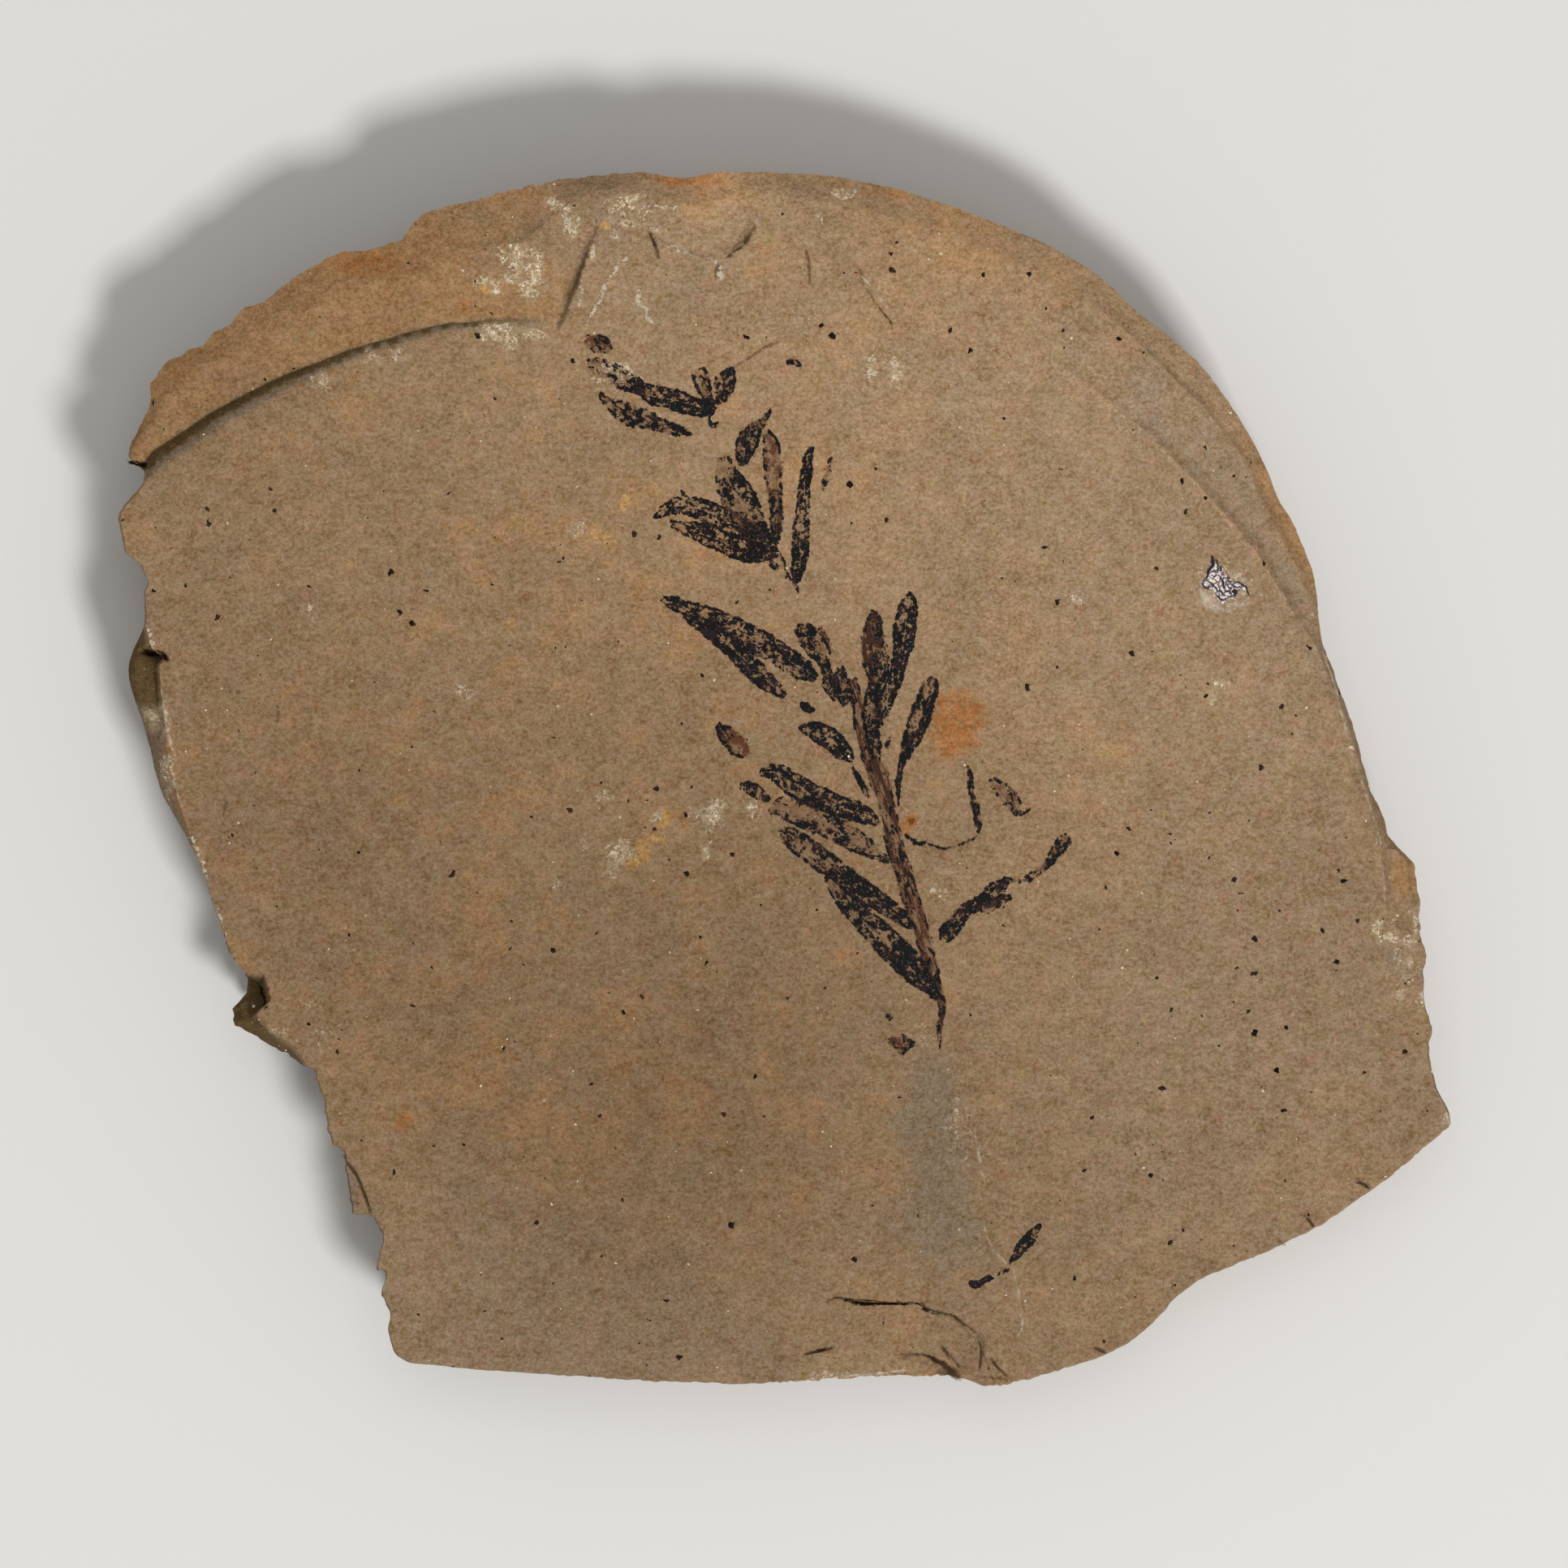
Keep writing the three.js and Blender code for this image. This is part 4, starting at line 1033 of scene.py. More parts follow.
# %% Shader maths
class Wire:
    """A socket of a shader tree that can be used in an expression."""

    def __init__(self, tree, socket=None):
        self.tree = tree
        self.socket = socket

    def node(self, kind, settings={}, sockets={}, out=0):
        """A new node's output. Settings come first, then values or links for its sockets."""
        made = self.tree.nodes.new(kind)
        for name, value in settings.items():
            setattr(made, name, value)
        for name, value in sockets.items():
            if isinstance(value, Wire):
                self.tree.links.new(value.socket, made.inputs[name])
            else:
                made.inputs[name].default_value = value
        return Wire(self.tree, made.outputs[out])

    def maths(self, operation, *values):
        return self.node("ShaderNodeMath", {"operation": operation}, dict(enumerate(values)))

    def vector(self, operation, other, out=0):
        """Vector maths with another vector, or with three numbers."""
        return self.node("ShaderNodeVectorMath", {"operation": operation}, {0: self, 1: other}, out)

    def __add__(self, other):
        return self.maths("ADD", self, other)

    def __radd__(self, other):
        return self.maths("ADD", other, self)

    def __sub__(self, other):
        return self.maths("SUBTRACT", self, other)

    def __rsub__(self, other):
        return self.maths("SUBTRACT", other, self)

    def __mul__(self, other):
        return self.maths("MULTIPLY", self, other)

    def __rmul__(self, other):
        return self.maths("MULTIPLY", other, self)

    def __abs__(self):
        return self.maths("ABSOLUTE", self)

    def larger(self, other):
        return self.maths("MAXIMUM", self, other)

    def rise(self, low, high):
        """0 below low, 1 above high, and eased between. It falls if low is above high."""
        return self.node("ShaderNodeMapRange", {"interpolation_type": "SMOOTHSTEP"},
                         {"Value": self, "From Min": low, "From Max": high})

    def share(self, first, second):
        """A colour between two others, by this share of the second."""
        return self.node("ShaderNodeMix", {"data_type": "RGBA"}, {0: self, 6: first, 7: second}, 2)

    def times(self, amount):
        """This colour or vector, scaled by one number."""
        return self.node("ShaderNodeVectorMath", {"operation": "SCALE"}, {0: self, "Scale": amount})

    def noise(self, per_mm, detail=2.0, roughness=0.5, distortion=0.0, out=0):
        """Cloudy noise around 0.5, with this vector as its place."""
        return self.node("ShaderNodeTexNoise", {}, {
            "Vector": self, "Scale": per_mm, "Detail": detail, "Roughness": roughness,
            "Distortion": distortion}, out)

    def attribute(self, name):
        return self.node("ShaderNodeAttribute", {"attribute_name": name}, {}, 2)


print("operators:", [name for name in vars(Wire) if name.startswith("__") and name.endswith("__")])

# %% Colours and finishes
def shade(red, green, blue):
    """A colour read as 0 to 255 on a screen, as the shader's linear values."""
    screen = np.array([red, green, blue]) / 255
    linear = np.where(screen > 0.04045, ((screen + 0.055) / 1.055) ** 2.4, screen / 12.92)
    return (*linear.tolist(), 1.0)


def new_finish(name):
    """A material, and the place of each point in millimetres."""
    finish = bpy.data.materials.new(name)
    finish.use_nodes = True
    return finish, Wire(finish.node_tree).node("ShaderNodeTexCoord", out=3).times(1 / MM)


def wire_up(finish, sockets):
    """Varying values are linked to the shader, and constant ones are set on its sockets."""
    shader = finish.node_tree.nodes["Principled BSDF"]
    for name, value in sockets.items():
        if isinstance(value, Wire):
            finish.node_tree.links.new(value.socket, shader.inputs[name])
        else:
            shader.inputs[name].default_value = value
    print(finish.name, "nodes:", len(finish.node_tree.nodes))


def bump(height):
    """A normal from a height in millimetres."""
    return height.node("ShaderNodeBump", {}, {"Height": height, "Distance": MM, "Strength": 1.0})


print("mid grey, linear:", round(shade(128, 128, 128)[0], 3))

# %% [markdown]
# ## The shale
# Split shale is dull and dusty. Its colour is never flat: there are broad warm and grey
# zones, a mottle of a few millimetres, and a fine grain of pale quartz and dark specks that
# the eye reads as stone. Edge on, the beds show as thin darker and lighter lines.
#
# One texture of the whole plate would need millions of pixels to hold that grain. Noise at
# several scales, summed, holds it at any distance, and the stains steer it by their numbers.

# %% The shale's colours
TAN = shade(145, 118, 89)
GREYER = shade(141, 118, 93)
RUSTIER = shade(153, 117, 80)
PINKISH = shade(152, 113, 89)
GREENISH = shade(142, 120, 84)
PALE_GRAIN = shade(196, 176, 148)
DARK_GRAIN = shade(84, 66, 50)
RUST = shade(160, 106, 58)
RUST_DEEP = shade(144, 86, 40)
RUST_DARK = shade(100, 52, 20)
GOLD = shade(186, 140, 76)
GOLD_BRIGHT = shade(206, 152, 66)
CHALK = shade(184, 164, 134)
CHALK_BRIGHT = shade(212, 196, 170)
SLATE = shade(128, 112, 92)
OLIVE = shade(100, 80, 48)
PAINTED_SHADE_COLOUR = shade(42, 30, 20)
BED_DARK = shade(98, 78, 54)
NEUTRAL = (0.81, 1.0, 1.37)    # lightens and darkens tan stone without changing its tint

shale, place = new_finish("shale")
stain = {name: place.attribute(name) for name in slab_stains}
broad = place.noise(0.08, 3, 1.0)
rusting = place.noise(0.16, 3, 0.8)
mottle = place.noise(0.4, 3, 0.9)
flow = place.vector("MULTIPLY", (0.7, 1.1, 1.0)).noise(1.2, 3, 0.7)
crumb = place.noise(2.6, 3, 0.7)
grain = place.vector("MULTIPLY", (0.8, 1.15, 1.0)).noise(0.9, 4, 1.0)
dots = place.noise(3.0, 1, 0.5)
blush = place.noise(0.5, 3, 0.9)
print("stains on the mesh:", list(stain))

# %% Clean stone, rust and grey patches
saturation = 0.5 + 2.3 * (rusting - 0.5) + stain["tint"]
colour = saturation.rise(0.5, 1.0).share(TAN, RUSTIER)
colour = saturation.rise(0.5, 0.0).share(colour, GREYER)
colour = (blush.rise(0.5, 0.74) * 0.75).share(colour, PINKISH)
colour = (blush.rise(0.5, 0.28) * 0.85).share(colour, GREENISH)

blotch = 1 + 2.2 * (mottle - 0.5) + 1.8 * (flow - 0.5) + 0.8 * (crumb - 0.5)
rusty = (stain["rust"] * blotch).rise(0.2, 0.9)
colour = (rusty * crumb.rise(0.30, 0.52) * 0.85).share(
    colour, (rusty * flow).rise(0.35, 0.65).share(RUST, RUST_DEEP))
colour = (stain["rust"].rise(1.3, 2.0) * 0.9).share(colour, RUST_DARK)
golden = (stain["gold"] * blotch).rise(0.25, 0.9)
colour = (golden * 0.7).share(colour, stain["gold"].rise(0.9, 1.8).share(GOLD, GOLD_BRIGHT))
slaty = (stain["slate"] * (1 + 2.4 * (mottle - 0.5) + 1.6 * (flow - 0.5))).rise(0.12, 0.75)
colour = (slaty * 0.8).share(colour, SLATE)
print("nodes so far:", len(shale.node_tree.nodes))

# %% Crushed clay, beds, olive breaks, painted shade and grain
veins = abs(place.noise(1.3, 3, 0.75) - 0.5)
chalky = (0.062 * stain["chalk"] + 0.10 * (crumb - 0.5) - veins).rise(-0.010, 0.014)
chalky = chalky * (stain["chalk"] + 0.8 * (crumb - 0.5)).rise(0.12, 0.3)
dusty = (stain["chalk"] * (0.4 + 1.2 * flow)).rise(0.1, 1.1) * 0.35
colour = dusty.share(colour, CHALK)
colour = (chalky * 0.9).share(colour, crumb.rise(0.45, 0.62).share(CHALK, CHALK_BRIGHT))

beds = place.vector("MULTIPLY", (0.12, 0.12, 2.4)).noise(1.0, 3, 0.65)
colour = (stain["bedding"] * beds.rise(0.48, 0.62) * 0.55).share(colour, BED_DARK)
# Dark olive on the old breaks and the sides, and at the bent step's foot, where it is partly painted
# shade.
olive = (stain["olive"] * (0.7 + 0.6 * mottle)).rise(0.08, 0.7)
colour = (olive * 0.95).share(colour, OLIVE)
# Painted shade in the cracks, under the small scarps and in a few hollows.
shade_mask = (stain["painted_shade"] * (0.5 + crumb)).rise(0.1, 0.6)
colour = (shade_mask * 0.9).share(colour, PAINTED_SHADE_COLOUR)
colour = (dots.rise(0.64, 0.72) * 0.55).share(colour, DARK_GRAIN)
colour = (dots.rise(0.35, 0.28) * 0.5).share(colour, PALE_GRAIN)

ripple = (0.5 * (broad - 0.5) + 0.3 * (mottle - 0.5) + 1.6 * (grain - 0.5)
          + 0.9 * (crumb - 0.5) + 1.4 * (dots - 0.5))
lightness = ripple.vector("MULTIPLY", NEUTRAL).vector("ADD", (1.0, 1.0, 1.0))
height = (0.06 * (grain - 0.5) + 0.045 * (flow - 0.5) + 0.08 * (mottle - 0.5)
          + 0.025 * (crumb - 0.5) + 0.05 * stain["bedding"] * (beds - 0.5) + 0.02 * chalky)
# The tone lightens and darkens the colour, painted highlight and shade included.
wire_up(shale, {
    "Base Color": colour.times(1 + stain["tone"]).vector("MULTIPLY", lightness),
    "Roughness": 0.82 + 0.2 * (crumb - 0.5) + 0.1 * chalky,
    "Normal": bump(height),
    "Specular IOR Level": 0.08})


def ride_along(piece):
    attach(piece, "root")


slab_mesh.materials.append(shale)
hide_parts("slab")
ride_along(slab)

# %% [markdown]
# ## The leaves
# What is left of the twig is a film of carbon far thinner than paper. It has crazed and
# flaked, so each needle is a black lace, dense at some edges and worn to a brown stain
# elsewhere. The needles overlap, and each has its own course and its own wear.
#
# The lace could be a pattern on the slab, but then every needle would need its own mask on a
# huge mesh. Here each needle is a thin closed ribbon laid along its own midline, a few
# hundredths of a millimetre proud of the stone. The ribbon knows the distance along and
# across it, so the lace can follow the needle, and the finish makes it ragged.

# %% Needles of the top spray, tip first, in millimetres
# Each has the share of film left at its start, middle and end, how dark its left and right
# edges are, how brown it is, and its midline as x, y and half width.
needles = {}
needles["top"] = [
    ((.12, .2, .5), (.1, .1), .35, [(-17.8, 37.2, .58), (-16.6, 36.9, .87), (-15.3, 36.4, .95),
     (-14, 35.7, .87), (-12.7, 35.1, .58)]),
    ((.45, .8, 1), (.4, .8), 0, [(-13.8, 35, .29), (-12.8, 35, .66), (-11.7, 34.5, .87),
     (-10.3, 34.2, .95), (-9, 33.8, .95), (-7.9, 33.4, .87), (-6.8, 33.2, .66), (-6.1, 33.5, .07)]),
    ((.3, .5, .85), (.2, .5), .25, [(-16.6, 34.7, .15), (-16, 34, .36), (-14.9, 33.3, .8),
     (-13.6, 32.6, .95), (-12.2, 32.2, .8), (-11, 31.7, .66), (-9.5, 31.3, .51), (-8.2, 31, .07)]),
    ((.45, .4, .6), (1, 1), .4, [(-7.8, 36.8, .58), (-7.5, 36.1, .73), (-7.2, 35.2, .66),
     (-6.8, 34.2, .44), (-6.2, 33.5, .15)]),
    ((.85, .7, .12), (.4, .3), .3, [(-4.4, 37, .11), (-4.9, 36.3, .66), (-5.2, 35.4, .8),
     (-5.5, 34.5, .66), (-6, 33.6, .15)]),
    ((.6, .6, .6), (0, 0), .6, [(-6.1, 36.3, .11), (-6.1, 35, .13), (-5.9, 33.7, .09)]),
    ((.1, .06, .12), (.15, .15), 1, [(-18, 39, .22), (-17.3, 39.2, .73), (-16.4, 39, .87),
     (-15.6, 38.4, .29)]),
]
print("needles at the top:", len(needles["top"]))

# %% Needles of the middle spray
needles["middle"] = [
    ((.5, .6, .75), (1, .6), 0, [(-11.7, 23.4, .11), (-10.7, 24.1, .58), (-9.3, 24.6, .8),
     (-7.7, 24.3, .95), (-5.9, 23.6, 1.02), (-4.1, 22.7, .95), (-2.3, 21.9, .87), (-.6, 20.8, .44)]),
    ((.35, .6, 1), (.9, 1), .1, [(-10.3, 23, .29), (-8.8, 22.5, .66), (-7.3, 22.1, .95),
     (-5.5, 21.3, 1.02), (-3.7, 20.6, 1.09), (-2, 20.3, .87), (-.4, 20.4, .36)]),
    ((.35, .5, .7), (1, .1), .3, [(-5.5, 28.9, .58), (-5.2, 27.5, 1.02), (-4.5, 26, 1.46),
     (-3.7, 24.5, 1.53), (-2.8, 23.1, 1.17), (-1.4, 21.6, .44)]),
    ((.8, .6, .4), (.3, .3), .2, [(-1.1, 33.2, .07), (-1.5, 32.7, .26), (-2, 32, .36),
     (-2.5, 31.3, .44)]),
    ((.25, .45, .9), (1, .8), .5, [(-2.1, 32.1, .29), (-2.7, 31.4, .73), (-3.3, 30.2, .95),
     (-3.6, 29.1, .8), (-3.7, 28.1, .22)]),
    ((.3, .3, .5), (1, .5), .7, [(-1.6, 31.3, .22), (-1.2, 30.3, .66), (-1, 28.6, .87),
     (-.9, 26.4, .73), (-.7, 24.2, .58), (-.7, 22.4, .51), (-.6, 21.4, .22)]),
    ((.85, .3, 1), (.9, .6), .1, [(2.5, 29.9, .15), (2.2, 28.9, .44), (2, 27.4, .51),
     (1.8, 25.9, .58), (1.7, 24.3, .66), (1.6, 22.8, .73), (1.5, 21.3, .8), (1.4, 19.8, .73),
     (1.2, 18.7, .58), (1.1, 17.5, .22)]),
    ((.25, .25, .25), (.2, .2), .4, [(4.3, 29.1, .11), (3.9, 27.6, .26), (3.4, 25.9, .18)]),
    ((.6, .6, .6), (.2, .2), .4, [(-1.4, 19.7, .22), (-.9, 19.2, .36), (-.4, 18.9, .15)]),
]
print("needles in the middle:", len(needles["middle"]))

# %% Needles of the main spray
needles["main"] = [
    ((.8, .42, .9), (.5, .2), 0, [(-11.1, 16.2, .18), (-10.1, 15.9, .58), (-8.5, 15.2, .73),
     (-6.3, 14.4, .95), (-4.1, 13.3, 1.09), (-1.9, 12.1, 1.17), (-.1, 11, 1.09), (1.7, 9.8, .95),
     (3, 9, .29)]),
    ((.85, .75, .45), (.2, .9), 0, [(-9, 14.7, .22), (-7.6, 14, .66), (-6, 13, .87),
     (-4.4, 11.6, .95), (-3, 10.1, .95), (-1.5, 8.7, .8), (.1, 7.4, .29)]),
    ((.5, .6, .5), (.3, .6), .25, [(1.1, 13.7, .36), (2, 13, .95), (2.9, 11.7, .95), (3.5, 10.6, .58),
     (3.9, 9.3, .44), (4.1, 8.2, .58), (4.7, 7, .22)]),
    ((.2, .2, .3), (.2, .7), .7, [(3.2, 13.7, .15), (3.8, 12.5, .26), (4.3, 11.2, .15)]),
    ((.5, .65, .5), (.5, .6), .35, [(5.1, 10.2, .22), (5.1, 9.1, .73), (5.2, 7.9, .73),
     (5.8, 6.7, .51)]),
    ((.8, .12, .5), (.6, .6), 1.5, [(8.1, 15.2, .22), (8.1, 14.2, .73), (7.9, 12.8, .91),
     (7.9, 11.3, .98), (8.1, 9.8, .8), (8.3, 8.5, .36)]),
    ((.3, .5, .4), (.3, .6), .6, [(8.7, 13.3, .11), (9, 11.5, .26), (9.2, 9.9, .29), (8.7, 8.7, .22)]),
    ((.7, .7, .5), (.6, .7), 0, [(11.5, 16.8, .22), (11.2, 15.7, .8), (11, 14.2, .98),
     (10.8, 12.8, 1.02), (10.6, 11.4, .8), (10.3, 10.2, .66), (9.9, 8.7, .73), (9.3, 7.4, .73),
     (8.8, 6.2, .66), (8.3, 5, .58)]),
    ((.6, .75, .6), (.7, .8), .3, [(8.2, 8.9, .58), (8, 7.3, .8), (7.9, 5.8, .8), (7.9, 4.4, .73),
     (8.1, 3.1, .58), (8.2, 2, .51), (8.3, 1, .29)]),
    ((.6, .6, .75), (.3, .8), 0, [(16.5, 1.2, .09), (16.7, .4, .19), (16.8, -.7, .28),
     (17, -1.8, .32), (17.3, -2.9, .36), (17.5, -3.9, .34), (17.4, -4.9, .13)]),
    ((.9, .4, .6), (.3, .3), .7, [(10.8, -5, .07), (11.4, -5.4, .12), (12.1, -5.8, .16),
     (12.9, -5.8, .06), (13.6, -6, .06), (14.1, -6.3, .16), (14.7, -6.2, .1), (15.6, -6, .06),
     (16.1, -5.8, .1), (16.8, -5.5, .06), (17.5, -5, .09)]),
    ((.6, .6, .8), (.8, .8), .1, [(13.6, 9.2, .22), (13.2, 8.4, .73), (12.7, 7, .87),
     (12.2, 5.5, .95), (11.7, 4.1, .87), (11.1, 2.7, .6), (10.6, 1.4, .3), (10.3, 0, .24),
     (10.3, -1.5, .19), (10.3, -2.6, .1)]),
    ((.45, .7, .6), (.9, .5), 0, [(1.3, 4.5, .15), (2.4, 4.5, .73), (3.5, 4, 1.02), (4.6, 3.2, .95),
     (5.5, 2.3, .73), (6.3, 1.6, .22)]),
    ((.6, .65, .55), (.3, 1), .05, [(-2.2, .5, .29), (-.8, .6, .8), (.7, -.4, 1.02),
     (2.5, -1.4, 1.09), (4.3, -2.2, 1.02), (6.1, -2.8, .95), (7.6, -3.4, .73), (8.5, -4.1, .22)]),
    ((.5, .7, .8), (.2, .2), 0, [(-4, -.6, .22), (-3, -.9, .66), (-1.9, -1.5, .51), (-1.2, -2, .15)]),
    ((.35, .35, .5), (.2, .8), .15, [(-1.4, -3, .18), (-.1, -2.6, .95), (1.7, -3.3, 1.09),
     (3.9, -4.2, 1.09), (6.1, -5.4, 1.02), (7.9, -6.5, .73), (9.5, -7.4, .22)]),
    ((.45, .6, .8), (.5, .7), .1, [(-.4, -4.4, .22), (.6, -5.2, .87), (2.5, -6.6, 1.09),
     (4.7, -8.2, .95), (6.8, -9.9, 1.02), (9, -11.3, .87), (10.6, -12.5, .66), (11.8, -13.5, .22)]),
    ((.35, .55, 1), (.9, .4), .05, [(3.8, -8.7, .22), (5, -10.4, .73), (6.8, -12.3, 1.02),
     (8.7, -14.1, 1.24), (10.3, -15.7, 1.31), (11.7, -17.2, 1.17), (12.8, -18.4, .8),
     (13.9, -19.7, .36)]),
    ((.35, .1, .15), (1, .5), .5, [(18.6, .1, .22), (19.3, -.7, .66), (20.2, -1.6, .8),
     (20.8, -2.5, .58), (21.3, -3.1, .15)]),
    ((.3, .3, .6), (.3, .3), .6, [(20.5, -3.1, .07), (21.4, -3.1, .09), (22.3, -2.6, .12)]),
    ((.45, .8, .75), (.8, .5), .1, [(14.4, -14.6, .44), (14.7, -13.8, .8), (15.5, -12.9, .66),
     (16.2, -11.9, .66), (17.4, -11.2, .58), (18.4, -10.7, .87), (19.3, -9.8, .8), (20.1, -9, .29)]),
    ((.5, .4, .2), (.2, .2), .2, [(17.3, -11.6, .29), (18.4, -11.6, .44), (19.4, -10.9, .44),
     (20.4, -10.5, .22)]),
    ((.5, .35, .85), (.2, .2), .5, [(19.8, -9, .22), (21.3, -9.2, .22), (22.3, -8.7, .36),
     (23.3, -8, .29), (24.1, -7.1, .44), (24.6, -6.3, .58), (25.2, -5.6, .58), (25.7, -5.2, .36)]),
]
print("needles of the main spray:", len(needles["main"]))

# %% Stems, and the main spray's axis
needles["stems"] = [
    ((.8, .7, .6), (0, 0), .7, [(-6.2, 33.5, .22), (-6.6, 32.9, .17), (-6.8, 32.3, .15),
     (-6.4, 31.8, .13), (-5.8, 32, .09)]),
    ((.3, .3, .3), (.3, .3), 1, [(-.4, 20.3, .16), (0, 19.2, .15), (.3, 18.3, .16), (.7, 17.6, .17),
     (1.2, 17.3, .12), (1.3, 16.6, .06)]),
    ((.2, .25, .3), (.5, .2), 1.3, [(6.1, 9.1, .36), (6.6, 7.1, .51), (6.8, 5.1, .51), (7, 3.5, .51),
     (7.4, 2, .51), (7.9, .7, .58), (8.5, -.7, .58)]),
    ((.6, .8, .6), (0, 0), .5, [(6.1, 1.1, .11), (6.6, .2, .22), (7.1, -.7, .22), (7.6, -1.7, .11)]),
    ((.2, .25, .25), (.3, .3), 1.5, [(7.9, 1.8, .55), (8.4, .7, .92), (8.9, -1.1, .84),
     (9.3, -2.9, .74), (9.7, -4.7, .74), (10.1, -6.6, .74), (10.6, -8, .8), (10.9, -8.9, .62)]),
    ((.6, .1, .3), (.2, .4), 1.2, [(10.7, -8.5, .66), (11, -9.5, .8), (11.3, -10.4, .8),
     (11.7, -11.7, .73), (12.2, -13.1, .66), (12.6, -14.6, .66), (13.1, -16.4, .66),
     (13.4, -17.7, .58)]),
    ((.4, .2, .15), (.15, .15), 1.6, [(13.3, -17.5, .4), (13.6, -18.4, .47), (13.9, -19.5, .44),
     (14.2, -20.6, .33), (14.1, -21.6, .25), (14, -22.6, .23), (14.1, -23.6, .2), (14.1, -24.3, .1)]),
]
print("stems:", len(needles["stems"]))

# %% The lower leaves and the loose bits
needles["lower"] = [
    ((.45, .8, .8), (.8, .6), .2, [(23, -39.9, .11), (22.7, -40.5, .33), (22.3, -40.9, .5),
     (21.8, -41.6, .62), (21.3, -42.1, .55), (20.9, -42.7, .4), (20.5, -43.2, .26), (20.3, -43.7, .06)]),
    ((.6, .7, .95), (.3, .3), .1, [(20.2, -43.9, .07), (19.7, -44.3, .13), (19.2, -44.5, .15),
     (18.7, -44.7, .2), (18.3, -44.9, .24), (17.9, -45.1, .3), (17.4, -45.4, .36), (17, -45.4, .33),
     (16.6, -45.2, .07)]),
]
needles["bits"] = [
    ((.9, .3, .35), (.5, .7), 1, [(-6, 5, .18), (-5.4, 4.2, .73), (-4.6, 3.5, .95), (-3.8, 2.7, .87),
     (-3.1, 2.1, .22)]),
    ((.2, .2, .8), (.2, .8), 1.3, [(9.3, -23.4, .22), (10.1, -23.6, .58), (10.7, -23.8, .87),
     (11.3, -23.8, .44), (11.9, -23.8, .22)]),
    ((.8, .8, .8), (.3, .3), .6, [(1.5, 6.9, .15), (1.9, 6.5, .44), (2.3, 6.2, .29), (2.8, 6.3, .15)]),
    ((.7, .8, .7), (.3, .3), .2, [(9.6, -21, .15), (9.5, -21.3, .33), (9.2, -21.7, .26)]),
    ((.5, .9, .7), (.3, .3), .4, [(9.5, 3.8, .11), (9.3, 3.2, .26), (9.3, 2.6, .18)]),
    ((.7, .6, .7), (.3, .3), .3, [(.2, 37.4, .15), (.7, 37.5, .29), (1.3, 37.2, .22), (1.6, 37, .07)]),
]
print("strips in all:", sum(map(len, needles.values())))

# %% A smooth line through given points
RIBBON_STEP = 0.2
THINNEST = 0.04              # half width


def spline(points, step):
    """Even steps along a smooth curve through points of x, y and half width."""
    points = np.array(points, float)
    ends = np.vstack([2 * points[0] - points[1], points, 2 * points[-1] - points[-2]])
    runs = np.hypot(*np.diff(points[:, :2], axis=0).T)
    parts = []
    for k, run in enumerate(runs):
        count = max(int(np.ceil(run / step)), 2)
        t = np.arange(count)[:, None] / count
        a, b, c, d = ends[k:k + 4]
        parts.append(b + 0.5 * t * (c - a + t * (2 * a - 5 * b + 4 * c - d
                                                 + t * (3 * b - a - 3 * c + d))))
    line = np.vstack([*parts, points[-1:]])
    line[:, 2] = np.maximum(line[:, 2], THINNEST)
    return line


print("points along the first needle:", len(spline(needles["top"][0][-1], RIBBON_STEP)))

# %% A ribbon that lies on the stone
RIBBON_COLUMNS = 9
RIBBON_SPREAD = 1.15         # times the needle's width
RIBBON_MARGIN = 0.22         # beyond the needle's edge, so the rim can be ragged
FILM_LIFT = 0.03             # of the lowest ribbon above the stone
FILM_LAYER = 0.012           # between ribbons that cross
FILM_LAYERS = 6              # before the next ribbon lies lowest again
FILM_ROOT = 0.06             # depth of a ribbon's underside in the stone


def band_faces(length, ring):
    """Faces of a closed strip, whose cross-sections are rings of points."""
    first = np.arange(length - 1)[:, None] * ring
    here = first + np.arange(ring)
    next_on = first + (np.arange(ring) + 1) % ring
    sides = np.stack([here, here + ring, next_on + ring, next_on], -1).reshape(-1, 4)
    k = np.arange(ring // 2 - 1)
    cap = np.stack([k, k + 1, ring - 2 - k, ring - 1 - k], -1)
    return np.vstack([sides, cap, cap[:, ::-1] + (length - 1) * ring])


